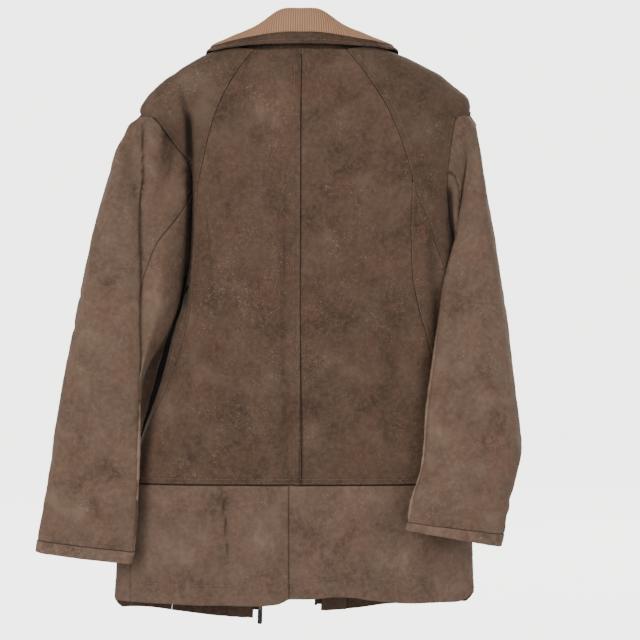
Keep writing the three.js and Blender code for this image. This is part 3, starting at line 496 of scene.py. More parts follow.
def stitch_mesh(name):
    V = np.concatenate(STITCH[name])
    m = V.shape[0]
    tri, quad = [], []
    for i in range(6):
        j = (i + 1) % 6
        tri.append((0, 1 + j, 1 + i))
        tri.append((19, 13 + i, 13 + j))
        for q in (1, 7):
            quad.append((q + i, q + j, q + 6 + j, q + 6 + i))
    base = (np.arange(m) * 20)[:, None, None]
    T = (base + np.array(tri)[None]).reshape(-1, 3)
    Q = (base + np.array(quad)[None]).reshape(-1, 4)
    sizes = np.concatenate([np.full(len(T), 3), np.full(len(Q), 4)])
    flat = np.concatenate([T.ravel(), Q.ravel()])
    me = bpy.data.meshes.new(name)
    verts = V.reshape(-1, 3) / 1000.0
    me.vertices.add(len(verts))
    me.vertices.foreach_set("co", verts.ravel())
    me.loops.add(len(flat))
    me.loops.foreach_set("vertex_index", flat.astype(np.int32))
    me.polygons.add(len(sizes))
    me.polygons.foreach_set("loop_start", np.concatenate([[0], np.cumsum(sizes)[:-1]]).astype(np.int32))
    me.polygons.foreach_set("loop_total", sizes.astype(np.int32))
    me.polygons.foreach_set("use_smooth", np.ones(len(sizes), bool))
    me.update(calc_edges=True)
    ob = bpy.data.objects.new(name, me)
    bpy.context.collection.objects.link(ob)
    return ob


def body_row(key, a, v, lift=0.1, fn=None, **kw):
    """A stitch row on the body's skin along arrays a, v."""
    n, p = normal_of(fn or skin, a, v, 0.003, 1.2)
    stitches(key, p + n * lift, n, **kw)


# ------------------------------------------------------------------ body panels
HINGE = {1: ((60.0, -68.0), (190.0, -812.0)), -1: ((-61.5, -68.0), (-180.0, -808.0))}
ZIPS = {1: ((63.9, -824.5), (44.0, -95.0)), -1: ((-21.9, -816.0), (-48.2, -95.0))}


def straight(f):
    def g(v):
        v = np.asarray(v, float)
        z = v.copy()
        for _ in range(5):
            z = surf(a_front(f(z), v), v)[..., 2]
        return f(z)
    return g


def hinge_x(s):
    (x0, z0), (x1, z1) = HINGE[s]
    return straight(lambda z: x0 + (x1 - x0) * (z0 - z) / (z0 - z1))


def zip_x(s):
    (x1, z1), (x0, z0) = ZIPS[s]
    return straight(lambda z: x0 + (x1 - x0) * (z0 - z) / (z0 - z1))


def in_arm(v):
    return (v < -94.6) & (v > -310.9)


PIECE = {}           # name -> object
NODES = frame["nodes"]


def use(ob, body, slot, *nodes, mat=None):
    PIECE[ob.name] = (ob, body)
    if mat is not None:
        ob.data.materials.append(mat)
    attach(ob, body)
    if nodes:
        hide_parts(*nodes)
    return ob


LN = {1: "left", -1: "right"}
made = {}


def arm_turn(v):
    """0 at the top of the armhole, 1 just below it: the seam turns over the shoulder."""
    return smooth((-94.5 - np.asarray(v, float)) / 11.0)


def side_edge(s, lo=0.0):
    return lambda v: np.full_like(v, s * 1.0)


for s in (1, -1):
    n = LN[s]
    # back panel in one piece from the neck to the waist
    made["back_panel_" + n] = panel("nubuck_back_" + n, -10.4, -628.2, lambda v: a_back(c_mid(v), v), lambda v, s=s: a_back(c_seam[s](v), v), 150, 3.0)
    # shoulder panel: split in rows where the outline jumps (neck edge, armhole)
    def sh_in(v, s=s):
        x = np.where(v > -10, s * c_neckb(v), np.where(v > -198.1, c_seam[s](v), c_branch[s](v)))
        return a_back(x, v)

    def sh_out(v, s=s):
        x = np.where(in_arm(v), c_arm[s](v), 0)
        return np.where(in_arm(v), lerp(s * 1.0, a_back(x, v), arm_turn(v)), s * 1.0)
    made["shoulder_panel_" + n] = panel("nubuck_shoulder_" + n, -1.2, -345, sh_in, sh_out, 90, 3.0, cols_edge=(True, False))

    def bs_in(v, s=s):
        return a_back(c_seam[s](v), v)

    def bs_out(v, s=s):
        w = smooth((v + 345) / -22.0)
        b = a_back(c_branch[s](np.maximum(v, -365)), v)
        return np.where(v > -345, b, lerp(b, s * 1.0, w))
    made["back_side_panel_" + n] = panel("nubuck_back_side_" + n, -199, -628.2, bs_in, bs_out, 70, 3.0)
    made["back_skirt_" + n] = panel("nubuck_skirt_" + n, -630.0, -804.0, lambda v, s=s: a_back(16.0 if s > 0 else 21.0, v), lambda v, s=s: np.full_like(v, s * 1.0), 260, 3.0, offset=0.0 if s > 0 else (lambda p: -2.6 * (1 - smooth((21.0 - p[..., 0]) / 9.0))))

    def fs_in(v, s=s):
        return a_front(np.where(v > -68.1, c_neckf[s](v), hinge_x(s)(v)), v)

    def fs_out(v, s=s):
        return np.where(in_arm(v), lerp(s * 1.0, a_front(c_arm[s](v) - s * 2, v), arm_turn(v)), s * 1.0)
    made["front_side_panel_" + n] = panel("nubuck_front_side_" + n, -1.2, -804, fs_in, fs_out, 130, 4.0, cols_edge=(True, False))

# ------------------------------------------------------------------ linings, fronts
GRID = {}


def deep(off):
    return lambda a, v: skin(a, v)


def zip_dist(s, p):
    (x1, z1), (x0, z0) = ZIPS[s]
    return s * (p[..., 0] - (x0 + (x1 - x0) * (z0 - p[..., 2]) / (z0 - z1)))


for s in (1, -1):
    n = LN[s]
    zx, hx = zip_x(s), hinge_x(s)

    def fp_in(v, s=s, zx=zx):
        return a_front(np.where(v > -93, np.abs(c_neckf[s](v)) * s + s, zx(v) + s * 7), v)
    made["front_panel_" + n] = panel("nubuck_front_" + n, -74, -804, fp_in, lambda v, hx=hx: a_front(hx(v), v), 105, 3.4, cols_edge=(True, False))
    made["front_facing_" + n] = panel("nubuck_facing_" + n, -102, -804, lambda v, s=s, zx=zx: a_front(zx(v) + s * 7, v),
                                      lambda v, s=s, zx=zx, hx=hx: a_front(zx(v) + s * np.minimum(45, np.abs(hx(v) - zx(v)) - 3), v), 38, 5.0, thick=1.2, offset=-4.3, vstep=6)
    made["front_lining_" + n] = panel("satin_front_" + n, -345, -772, lambda v, s=s, zx=zx: a_front(zx(v) + s * 45.6, v),
                                      lambda v, s=s, hx=hx: a_front(hx(v) - s * 1.5, v), 60, 5.0, thick=0.9, offset=-4.3, vstep=6)

    def sl_in(v, s=s, hx=hx):
        return a_front(np.where(v > -68.1, c_neckf[s](v), hx(v)) + s * 1.0, v)

    def sl_out(v, s=s):
        return np.where(in_arm(v), a_front(c_arm[s](v) - s * 5, v), np.where(v > -95, s * 1.05, s * 1.012))
    made["side_lining_" + n] = panel("satin_side_" + n, -17, -772, sl_in, sl_out, 130, 5.0, thick=0.9, offset=-3.6, vstep=6)
    w0 = lambda v, s=s: s * (100 + 22 * (-470 - v) / 128.0) + (6 if s < 0 else 0)
    made["pocket_welt_" + n] = panel("nubuck_welt_" + n, -470, -598, lambda v, w0=w0: a_front(w0(v), v), lambda v, w0=w0, s=s: a_front(w0(v) + s * 14, v), 14, 1.6, thick=2.0, offset=2.5, vstep=2.4)
    made["pocket_bag_" + n] = panel("cotton_pocket_bag_" + n, -450, -700, lambda v, s=s, zx=zx: a_front(zx(v) + s * 24, v), lambda v, s=s, hx=hx: a_front(hx(v) - s * 6, v), 70, 6.0, thick=1.0, offset=-2.0, vstep=7)


def bl(sign):
    def f(v):
        arm = a_back(c_arm[sign](v) - sign * 3, v)
        flat = np.interp(-v, [17, 20, 60, 94, 96, 311, 345, 363, 380, 800], [.7, .7, .95, .8, .8, .8, .85, .9, .985, .985])
        return np.where(in_arm(v), arm, sign * flat)
    return f


made["back_lining"] = panel("satin_back", -17, -772, bl(-1), bl(1), 440, 6.0, thick=0.9, offset=-4.1, vstep=6)
made["neck_label"] = panel("woven_label", -38, -70, lambda v: a_back(-27 + 0 * v, v), lambda v: a_back(27 + 0 * v, v), 54, 3.0, thick=0.8, offset=-6.0, fn=skin)


# ------------------------------------------------------------------ sleeves
def rows_of(table, free_c):
    R = {}
    ks = [r[0] for r in table]
    O = np.array([world(r[1][0], r[1][1], r[1][2]) for r in table])
    I = np.array([world(r[3][0], r[3][1], r[3][2]) for r in table])
    if free_c:
        Cc = np.array([world(r[2][0], r[2][1], r[4] - r[6]) for r in table])
    else:
        Cc = np.array([O[i] + (I[i] - O[i]) * table[i][2] for i in range(len(table))])
    mk = lambda arr: [Curve(list(zip(ks, arr[:, c]))) for c in range(3)]
    R["O"], R["I"], R["C"] = mk(O), mk(I), mk(Cc)
    R["yB"], R["yF"], R["h"] = (Curve([(r[0], r[i]) for r in table]) for i in (4, 5, 6))
    return R


LEFT = [(0, (143, 112, 2), .02, (184, 262, -2), 38, -34, 4), (.5, (125, 140, 5), .28, (183.5, 272, 2), 48, -28, 9),
        (1, (112, 170, 8), .42, (183, 282, 6), 54, -20, 12), (1.5, (99, 212, 12), .53, (180.5, 297, 10), 59, -14, 13),
        (2, (89, 256, 16), .614, (176, 312, 14), 62, -8, 14), (2.5, (81, 292, 19), .715, (166, 335, 18), 64, -3, 14),
        (3, (74, 328, 22), .885, (151, 360, 22), 66, 2, 14), (3.5, (66.5, 364, 25), .99, (141.5, 385, 27), 64, 5, 16),
        (4, (60, 400, 28), 1, (140.5, 408, 32), 62, 8, 16), (5, (51, 460, 33), 1, (139, 468, 37), 62, 14, 14),
        (6, (43, 508, 36), 1, (137, 512, 40), 62, 18, 12), (6.5, (40, 530, 37), 1, (134, 540, 41), 61, 19, 11),
        (7, (35.4, 551, 38), 1, (130.3, 563, 42), 60, 20, 10)]
RIGHT = [(0, (467, 102, 2), (466, 106), (455, 262, -3), 42, -34, 3), (.25, (474, 118, 3), (472, 126), (455, 264, -2), 43, -32, 10),
         (.5, (478, 140, 4), (466.5, 158), (455, 266, 0), 45, -31, 16), (1, (487, 196, 6), (452.5, 232), (456, 276, 8), 48, -28, 20),
         (1.5, (493, 226, 10), (447, 262), (454, 295, 16), 53, -14, 20), (2, (498, 256, 14), (443, 286), (449, 310, 26), 58, 2, 20),
         (2.5, (504, 292, 21), (438.5, 314), (443, 328, 40), 65, 13, 21), (3, (509, 328, 28), (435.5, 345), (437, 350, 50), 72, 24, 22),
         (4, (517, 400, 42), (427, 410), (427.5, 411, 61), 80, 40, 20), (5, (522, 448, 52), (423, 461), (423, 461, 66), 90, 42, 18),
         (6, (510, 500, 62), (412, 500), (412, 500, 71), 94, 50, 14), (7, (502, 546, 68), (407, 530), (407, 530, 73), 92, 53, 10)]
ROWT = {1: rows_of(LEFT, False), -1: rows_of(RIGHT, True)}
KN = 14
LOOP_F = ([0, 1, 2, 3, 4, 5, 6, 7, 8, 9, 10, 11, 12, 13, 14], [0, .002, .006, .012, .020, .030, .045, .17, .45, .76, 1, .75, .5, .25, 0])


def controls(s, t):
    R = ROWT[s]
    t = np.asarray(t, float)
    g = lambda k: np.stack([c(t) for c in R[k]], -1)
    O, I, C = g("O"), g("I"), g("C")
    yB, yF, h = R["yB"](t), R["yF"](t), R["h"](t)
    C = C.copy()
    if s < 0:
        C[..., 0] -= 9.0 * (1 - smooth((t - 0.2) / 1.8))
    yO, yI = O[..., 1], I[..., 1]
    pts = []

    def add(a, b, f, y):
        p = a + (b - a) * f
        p[..., 1] = y
        pts.append(p)
    add(O, O, 0, yO)
    add(O, C, .10, yO + .75 * (yB - yO))
    add(O, C, .35, yB)
    add(O, C, .70, yB)
    add(O, C, .93, yB - .25 * h)
    add(O, C, 1.0, yB - .55 * h)
    back = 2.2 / np.maximum(np.linalg.norm((C - O)[..., [0, 2]], axis=-1), 12)
    p = C + (O - C) * back[..., None]
    p[..., 1] = yB - h
    pts.append(p)
    add(C, I, .25, yB - .8 * h)
    add(C, I, .6, yB - .75 * h)
    add(C, I, .9, lerp(yB - .75 * h, yI, .5))
    add(I, I, 0, yI)
    add(O, I, .85, yF + .25 * (yI - yF))
    add(O, I, .5, yF)
    add(O, I, .15, yF + .25 * (yO - yF))
    return np.stack(pts, -2)


def loop_point(s, k):
    k = np.mod(k, KN)
    f = np.interp(k, *LOOP_F)
    z = -94.5 - f * 216.5
    zc = np.clip(z, -310.8, -94.7)
    back = k <= 10
    end = np.minimum(f, 1 - f) < 1e-3
    xa = c_arm[s](zc)
    a = np.where(back, a_back(xa, zc), a_front(xa - s * 2, zc))
    e = np.minimum(arm_turn(z), smooth((1 - f) / 0.02))
    a = lerp(s * 1.0, a, e)
    p = skin(a, z)
    p = p + np.array([s * 1.0, 0, 0])
    p[..., 2] -= 0.9 * (f < 0.02)
    return p


def closed_cr(ctrl, k):
    """ctrl (R,14,3), k (R,C)."""
    k = np.mod(k, KN)
    i = np.floor(k).astype(int)
    f = (k - i)[..., None]
    r = np.arange(ctrl.shape[0])[:, None]
    p0, p1, p2, p3 = (ctrl[r, (i + o) % KN] for o in (-1, 0, 1, 2))
    return 0.5 * (2 * p1 + (p2 - p0) * f + (2 * p0 - 5 * p1 + 4 * p2 - p3) * f * f + (3 * p1 - p0 - 3 * p2 + p3) * f ** 3)


def sleeve_base(s, t, k):
    """t (R,), k (R,C) -> points (R,C,3)."""
    P = closed_cr(controls(s, t), k)
    w = 1 - smooth(t / 1.1)
    if w.max() > 0:
        F0 = closed_cr(controls(s, np.zeros_like(t)), k)
        P = P + (loop_point(s, k) - F0) * w[:, None, None]
    return P


def sleeve_relief(s, P, t, k):
    px, py = plane(P)
    X, Y, Z = P[..., 0], P[..., 1], P[..., 2]
    d = 1.5 * noise(X / 48 + 17, Y / 50 + 1, Z / 110 + 3) + 0.9 * noise(X / 22 + 2, Y / 30, Z / 40 + 19)
    d = d + 0.5 * noise(X / 9, Y / 12 + 5, Z / 12) + 0.22 * noise(X / 4 + 3, Y / 5, Z / 4.6)
    tt = np.broadcast_to(t[:, None], px.shape)
    low = smooth((tt - 4.6) / 1.6)
    # cross creases toward the cuff
    wav = noise(X / 70 + 31, Y / 60, (Z + 0.25 * s * X) / 13)
    d = d + low * (1.1 * wav + 0.8 * noise(X / 14, Y / 14, Z / 11 + 4))
    if s > 0:
        for y0, dx, a, wd in ((300, 0.25, -1.6, 4), (330, 0.12, -2.0, 4), (352, 0.2, 1.2, 5), (392, 0.3, -1.2, 5), (428, -0.15, -1.3, 4), (470, 0.2, -1.4, 4), (498, -0.2, 1.1, 4), (518, 0.12, -1.3, 3.4)):
            d = d + a * bump(py - (px - 95) * dx, y0, wd) * bump(px, 74 if y0 in (300, 330) else 98, 26)
        d = d + 1.8 * bump(px, 128 + (py - 250) * 0.02, 8) * gate(py, 200, 430, 80)
        d = d - 1.6 * bump(px, 108 - (py - 300) * 0.16, 8) * gate(py, 220, 520, 80)
    else:
        for y0, dx, a, wd in ((440, 0.45, -2.2, 5), (456, 0.3, 1.7, 5), (470, 0.5, -1.9, 4), (484, 0.25, 1.3, 4), (500, 0.35, -1.5, 4), (240, -0.4, -1.2, 6), (300, -0.3, 1.0, 8), (512, 0.1, -1.1, 3.4)):
            d = d + a * bump(py + (px - 470) * dx, y0, wd) * bump(px, 462, 34)
        d = d - 2.0 * bump(px, 452 - (py - 350) * 0.12, 5) * gate(py, 300, 470, 60)
        d = d + 1.6 * bump(px, 474 + (py - 300) * 0.05, 10) * gate(py, 180, 420, 90)
    cuff = smooth((tt - 6.35) / 0.35)
    d = d + cuff * (1.1 * noise(X / 8 + 5, Y / 30, Z / 26) + 0.7 * noise(X / 5, Y / 9, Z / 5 + 8))
    d = d * smooth((tt + 0.15) / 0.5)
    if s > 0:
        d = d + (K_BACK(k)) * smooth(tt / 0.4) * gate(py, 124, 186, 16) * (1.3 * bump(px, 138.4, 2.8) - 2.4 * bump(px, 142.4, 1.7))
    return d


K_SEAM = {1: Curve([(0, 8.28), (.5, 7.9), (1, 7.5), (1.5, 6.9), (2, 6.25), (2.5, 5.8), (3, 5.7), (7, 5.7)]),
          -1: Curve([(0, 7.9), (.35, 7.5), (.8, 6.6), (1.3, 6.0), (1.8, 5.75), (7, 5.7)])}
K_FRONT = -2.0


def K_BACK(k):
    return (np.mod(k, KN) < 8) * 1.0


def sleeve_full(s, P, t):
    """Fullness of the sleeve head along the outer edge, pushed out and up."""
    px, py = plane(P)
    tt = np.broadcast_to(t[:, None], px.shape)
    if s > 0:
        f = 6.6 * bump(py, 123, 11) * smooth((152 - px) / 14) + 3.0 * bump(py, 150, 14) * smooth((140 - px) / 12)
    else:
        f = 3.4 * bump(py, 121, 9) * smooth((px - 457) / 12) + 1.5 * bump(py, 146, 16) * smooth((px - 460) / 12)
    f = f * smooth(tt / 0.25)
    return f[..., None] * np.array([s * 0.90, 0, 0.43])


def arc_map(s):
    ks = np.linspace(-2, 12, 561)
    ts = np.array([1.0, 2.0, 3.0, 4.5, 6.0])
    P = closed_cr(controls(s, ts), np.broadcast_to(ks, (5, 561)).copy())
    L = np.linalg.norm(np.diff(P, axis=1), axis=2).mean(0) + 0.04
    return ks, np.concatenate([[0], np.cumsum(L)])


SLEEVE_GRID = {}


def sleeve_strip(name, s, ts, ka, kb, step=2.6, o1=0.0, o2=-1.6, ring=False, drop_rows=(True, True), relief_on=True):
    ks, S = arc_map(s)
    A, B = np.interp(ka, ks, S), np.interp(kb, ks, S)
    if ring:
        fr = np.linspace(0, 1, int((B - A).mean() / step) + 1)[:-1]
    else:
        fr = fractions((B - A).mean(), step)
    K = np.interp(A[:, None] * (1 - fr) + B[:, None] * fr, S, ks)
    P = sleeve_base(s, ts, K)
    N = grid_normals(P, ring)
    c = P.mean(1, keepdims=True)
    if ring:
        c = P.mean(1, keepdims=True)
        sign = np.sign((N * (P - c)).sum())
    else:
        full = closed_cr(controls(s, ts), np.broadcast_to(np.arange(14.0), (len(ts), 14)).copy()).mean(1, keepdims=True)
        sign = np.sign((N * (P - full)).sum())
    N = N * sign
    if relief_on:
        P = P + N * sleeve_relief(s, P, ts, K)[..., None] + sleeve_full(s, P, ts)
        N = grid_normals(P, ring)
        N = N * np.sign((N * (P - (c if ring else full))).sum())
    dr = edge_drop(len(ts))
    dr[0] *= 0.4
    if not drop_rows[0]:
        dr[:2] = 0
    if not drop_rows[1]:
        dr[-2:] = 0
    dc = np.zeros(len(fr)) if ring else edge_drop(len(fr))
    drop = np.minimum(dc[None, :], dr[:, None])
    outer = P + N * (drop + o1)[..., None]
    inner = P + N * o2
    # painted shade: dark seam-groove edges and the pits where the sleeve lies against the body
    dark = seam_edge_shade(dc if not ring else np.zeros(len(fr)), dr)
    px, py = plane(P)
    pit = pit_mask(px, py) * (K > 6) * (K < 10.5) if s > 0 else pit_mask(px, py) * (ts[:, None] < 1.6) * (K > 5.5)
    dark = np.maximum(dark, pit)
    # painted shade in the fold where the sleeve turns under, from the upper arm to the cuff
    dark = np.maximum(dark, 0.9 * bump(K, 5.5, 0.42) * (smooth((ts - 0.25) / 0.4) * (1 - smooth((ts - 6.2) / 0.5)))[:, None])
    # painted shade in the sharp crease on the back of the left sleeve
    if s > 0:
        dark = np.maximum(dark, 0.85 * bump(px, 142.5, 1.2) * gate(py, 124, 190, 14) * (K < 8))
    SLEEVE_GRID[name] = (outer, N, np.broadcast_to(ts[:, None], K.shape))
    if ts[0] == 0:                       # turned-in seam allowance under the body's edge
        tan = outer[0] - outer[4]
        tan /= np.maximum(np.linalg.norm(tan, axis=-1, keepdims=True), 1e-6)
        ext = [(4.5, 2.6), (2.6, 2.3), (1.0, 1.4)]
        eo = np.stack([outer[0] + tan * a - N[0] * b for a, b in ext])
        ei = np.stack([outer[0] + tan * a - N[0] * (b + 1.2) for a, b in ext])
        outer, inner = np.concatenate([eo, outer]), np.concatenate([ei, inner])
        ts = np.concatenate([[0, 0, 0], ts])
        # painted shade on the turned-in seam allowance under the body's edge
        dark = np.concatenate([np.full((3, dark.shape[1]), 0.7), dark])
        K = np.concatenate([K[:1]] * 3 + [K])
    ob = shell(name, outer, inner, ring)
    painted_shade_values(ob, dark)
    T = np.broadcast_to(ts[:, None], K.shape)
    ob.data.attributes.new("sleeve_t", "FLOAT", "POINT").data.foreach_set("value", np.concatenate([T.ravel(), T.ravel()]).astype(np.float32))
    return ob


def t_rows(t0, t1, per=34):
    n = int((t1 - t0) * per)
    e = 0.014
    return np.concatenate([[t0, t0 + e, t0 + 2.4 * e], np.linspace(t0 + 4.5 * e, t1 - 4.5 * e, n), [t1 - 2.4 * e, t1 - e, t1]])


for s in (1, -1):
    n = LN[s]
    ts = t_rows(0, 6.715)
    made["sleeve_upper_" + n] = sleeve_strip("nubuck_sleeve_upper_" + n, s, ts, np.full(len(ts), K_FRONT), K_SEAM[s](ts))
    made["sleeve_under_" + n] = sleeve_strip("nubuck_sleeve_under_" + n, s, ts, K_SEAM[s](ts), np.full(len(ts), 12.0))
    tc = np.concatenate([[6.722, 6.736, 6.756], np.linspace(6.79, 6.95, 8), [6.975, 6.99, 7.0]])
    made["cuff_hem_" + n] = sleeve_strip("nubuck_cuff_" + n, s, tc, np.full(len(tc), -2.0), np.full(len(tc), 12.0), ring=True, o1=0.3, o2=-2.4)

    # lining: a slack smooth oval well inside the shell
    tl = np.linspace(0.42, 6.86, 130)
    kk = np.broadcast_to(np.linspace(0, 14, 97)[:-1], (130, 96)).copy()
    Pc = sleeve_base(s, tl, kk)
    O, I = Pc[:, 0], Pc[:, int(96 * 10 / 14)]
    cen = Pc.mean(1)
    ang = np.linspace(0, 2 * math.pi, 73)[:-1]
    half = (I - O) / 2
    m = (I + O) / 2
    yb = ROWT[s]["yB"](tl) - ROWT[s]["h"](tl) - 3.0
    yf = ROWT[s]["yF"](tl)
    w1 = 1 - smooth(tl / 1.3)
    m[:, 1] = (yb + yf) / 2
    ry = (yb - yf) / 2 * lerp(0.74, 0.60, w1)
    ry = np.maximum(ry, 6)
    P = m[:, None, :] + half[:, None, :] * (np.sign(np.cos(ang)) * np.abs(np.cos(ang)) ** 0.85)[None, :, None] * lerp(0.90, 0.78, w1)[:, None, None]
    P[..., 1] = m[:, 1][:, None] + ry[:, None] * np.sign(np.sin(ang)) * np.abs(np.sin(ang)) ** 0.85
    P = P + 0.6 * np.sin(P[..., 2:3] / 9.0 + 3 * np.sin(P[..., 0:1] / 30)) * np.array([0, .5, 0])
    N = grid_normals(P, True)
    N = N * np.sign((N * (P - P.mean(1, keepdims=True))).sum())
    ob = shell("satin_sleeve_" + n, P, P - N * 0.8, True)
    T = np.broadcast_to(tl[:, None], (130, 72))
    ob.data.attributes.new("sleeve_t", "FLOAT", "POINT").data.foreach_set("value", np.concatenate([T.ravel(), T.ravel()]).astype(np.float32))
    made["sleeve_lining_" + n] = ob


# ------------------------------------------------------------------ collar
NECK_C = [[0, 57, -9.4], [30, 56, -9.4], [56, 50.5, -8.6], [72, 44, -6.5], [86, 33, -1.6], [94, 18, 0.8], [97, 0, 1.6], [94, -18, 0.8], [87, -34, -3.5], [83.5, -45, -14], [75, -51.5, -33], [65, -55, -52], [58.5, -56.5, -64]]
FOLD_C = [[0, 46, 48], [25, 45.5, 47.5], [41, 44, 39], [59, 40, 26.3], [79, 30, 18], [94, 14, 12.5], [103, -4, 9], [105, -24, 3], [100, -42, -9], [91, -54, -26], [80, -59.5, -44], [71, -61.5, -57], [65, -62, -65]]
LEAF_C = [[0, 69, -4], [27, 68.5, -4.2], [51, 65, -4.5], [84, 58, -5.6], [106, 46, -7.2], [121.5, 37, -10], [133, 18, -7.5], [138, -6, -8.5], [137, -32, -14], [129, -57, -35], [118, -63.5, -60], [105, -65.5, -84], [90, -66, -103]]


def inside_body(p):
    xc, hw = mid_half(p[..., 2])
    u = np.abs(p[..., 0] - xc) / hw
    uc = np.minimum(u, 0.9999)
    d = np.where(p[..., 1] > 0, f_deep_b(p[..., 2]) * (1 - uc ** 2.5) ** (1 / 2.5),
                 f_deep_f(p[..., 2]) * np.where(uc < FLAT, 1, (1 - np.clip((uc - FLAT) / (1 - FLAT), 0, 1) ** FN) ** (1 / FN)))
    return (u < 1) & (np.abs(p[..., 1]) < d) & (p[..., 2] <= 8)


def clear_of(p, d):
    q = p.copy()
    e = np.stack([p[..., 0] * 0.3, p[..., 1], np.full(p.shape[:-1], 30.0)], -1)
    e /= np.linalg.norm(e, axis=-1, keepdims=True)
    for _ in range(60):
        hit = inside_body(q - e * d)
        if not hit.any():
            break
        q = q + e * (0.5 * hit)[..., None]
    return q


def full_curve(T, n):
    T = np.array(T, float)
    P = np.concatenate([T[:0:-1] * [-1, 1, 1], T])
    k = np.arange(len(P), dtype=float)
    u = np.linspace(0, len(P) - 1, n)
    i = np.clip(np.floor(u).astype(int), 0, len(P) - 2)
    f = (u - i)[:, None]
    g = lambda j: P[np.clip(j, 0, len(P) - 1)]
    p0, p1, p2, p3 = g(i - 1), g(i), g(i + 1), g(i + 2)
    return 0.5 * (2 * p1 + (p2 - p0) * f + (2 * p0 - 5 * p1 + 4 * p2 - p3) * f * f + (3 * p1 - p0 - 3 * p2 + p3) * f ** 3)


def soften(P, k=5, rounds=2):
    for _ in range(rounds):
        Q = np.concatenate([P[:1]] * k + [P] + [P[-1:]] * k)
        ker = np.hanning(2 * k + 3)[1:-1]
        ker /= ker.sum()
        P = np.stack([np.convolve(Q[:, c], ker, "valid") for c in range(3)], 1)
    return P


NC = 900
neck_c = full_curve(NECK_C, NC)
fold_c = soften(clear_of(full_curve(FOLD_C, NC), 5.5), 12)
leaf_c = soften(clear_of(full_curve(LEAF_C, NC), 6), 12)


def between(A, B, ts, bulge=0.0):
    P = A[None] * (1 - ts[:, None, None]) + B[None] * ts[:, None, None]
    out = np.stack([P[..., 0] * 0.6, P[..., 1] + 5, np.full(P.shape[:2], 40.0)], -1)
    out /= np.linalg.norm(out, axis=-1, keepdims=True)
    return P + out * (bulge * np.sin(math.pi * ts))[:, None, None]


def oriented(P, centre):
    N = grid_normals(P)
    return N * np.sign((N * (P - centre)).sum())


LEAF_T = np.concatenate([[0, .012, .03], np.linspace(.06, .94, 30), [.972, .99, 1.0]])
leaf_g = between(fold_c, leaf_c, LEAF_T, 5.0)
leaf_g[1:] = clear_of(leaf_g[1:], 6)
for i in range(1, len(leaf_g)):
    leaf_g[i] = soften(leaf_g[i], 8, 1)
cc = np.array([0, -10, -40.0])
leaf_n = oriented(leaf_g, cc)
seg = np.linalg.norm(np.diff(0.5 * (fold_c + leaf_c), axis=0), axis=1)
arc = np.concatenate([[0], np.cumsum(seg)])
half_len = arc[-1] / 2
leaf_g = leaf_g + leaf_n * (0.5 * noise(leaf_g[..., 0] / 17, leaf_g[..., 1] / 17, leaf_g[..., 2] / 17))[..., None]

sub = np.arange(0, NC, 3)
g, nn = leaf_g[:, sub], leaf_n[:, sub]
dr = np.zeros(len(LEAF_T)); dr[-1], dr[-2], dr[-3] = -0.9, -0.35, 0.0
dcol = np.zeros(len(sub)); dcol[0] = dcol[-1] = -0.8; dcol[1] = dcol[-2] = -0.25
# a thin bead along the free edge
bead = 0.9 * np.exp(-((LEAF_T - 0.955) / 0.022) ** 2)
made["collar_leaf"] = shell("leather_collar_leaf", g + nn * (np.minimum(dr[:, None], dcol[None]) + bead[:, None])[..., None], g - nn * 1.8)
COLLAR_LEAF = (g, nn)

# corduroy: ribs across the leaf, rolled over the fold to the inside
h_in = np.stack([fold_c[:, 0], fold_c[:, 1] + 8, np.zeros(NC)], -1)
h_in = -h_in / np.linalg.norm(h_in, axis=1, keepdims=True)
up = np.array([0, 0, 1.0])
sel = LEAF_T <= 0.73
base = leaf_g[sel]
bn = leaf_n[sel]
roll = [(8.4, -16, 0), (8.4, -12, 0), (8.3, -8, 0), (8.1, -4.5, 0), (7.3, -1.6, 0), (5.9, 0.6, 0), (4.0, 1.9, 0), (2.2, 2.2, 0)]
rollg = np.stack([fold_c + h_in * a + up * b for a, b, _ in roll])
cord_mid = np.concatenate([rollg, base + bn * 1.3])
for i in range(6, 13):                      # ease the hand-over
    cord_mid[i] = 0.25 * cord_mid[i - 1] + 0.5 * cord_mid[i] + 0.25 * cord_mid[i + 1]
cn = oriented(cord_mid, fold_c.mean(0) * 0 + cc)
cn = grid_normals(cord_mid)
cn = cn * np.sign((cn[10:] * (cord_mid[10:] - cc)).sum())
wale = 0.5 - 0.5 * np.cos(2 * math.pi * (arc - half_len) / 3.2)
wale = wale ** 0.7
lo_edge = np.zeros(len(cord_mid)); lo_edge[-1], lo_edge[-2] = -0.8, -0.2; lo_edge[0] = -0.5
outer = cord_mid + cn * (np.minimum(0.62 * wale[None, :] + 0.0, 0.62) + lo_edge[:, None])[..., None]
inner = cord_mid - cn * 0.7
made["collar_corduroy"] = shell("corduroy_collar", outer, inner)
CORD_EDGE = (cord_mid[-1] + cn[-1] * 0.6, cn[-1])

stand_top = fold_c + h_in * 3.2 + np.array([0, 0, -3.0])
ST = np.linspace(0, 1, 18)
sg = between(neck_c, stand_top, ST)
sg = np.concatenate([(neck_c + np.array([0, 0, -6.4]))[None], (neck_c + np.array([0, 0, -3.2]))[None], sg])[:, sub]
sn = oriented(sg, np.array([0, 0, -20.0]))
made["collar_stand"] = shell("leather_collar_stand", sg, sg - sn * 1.8)
COLLAR_STAND = (sg, sn)

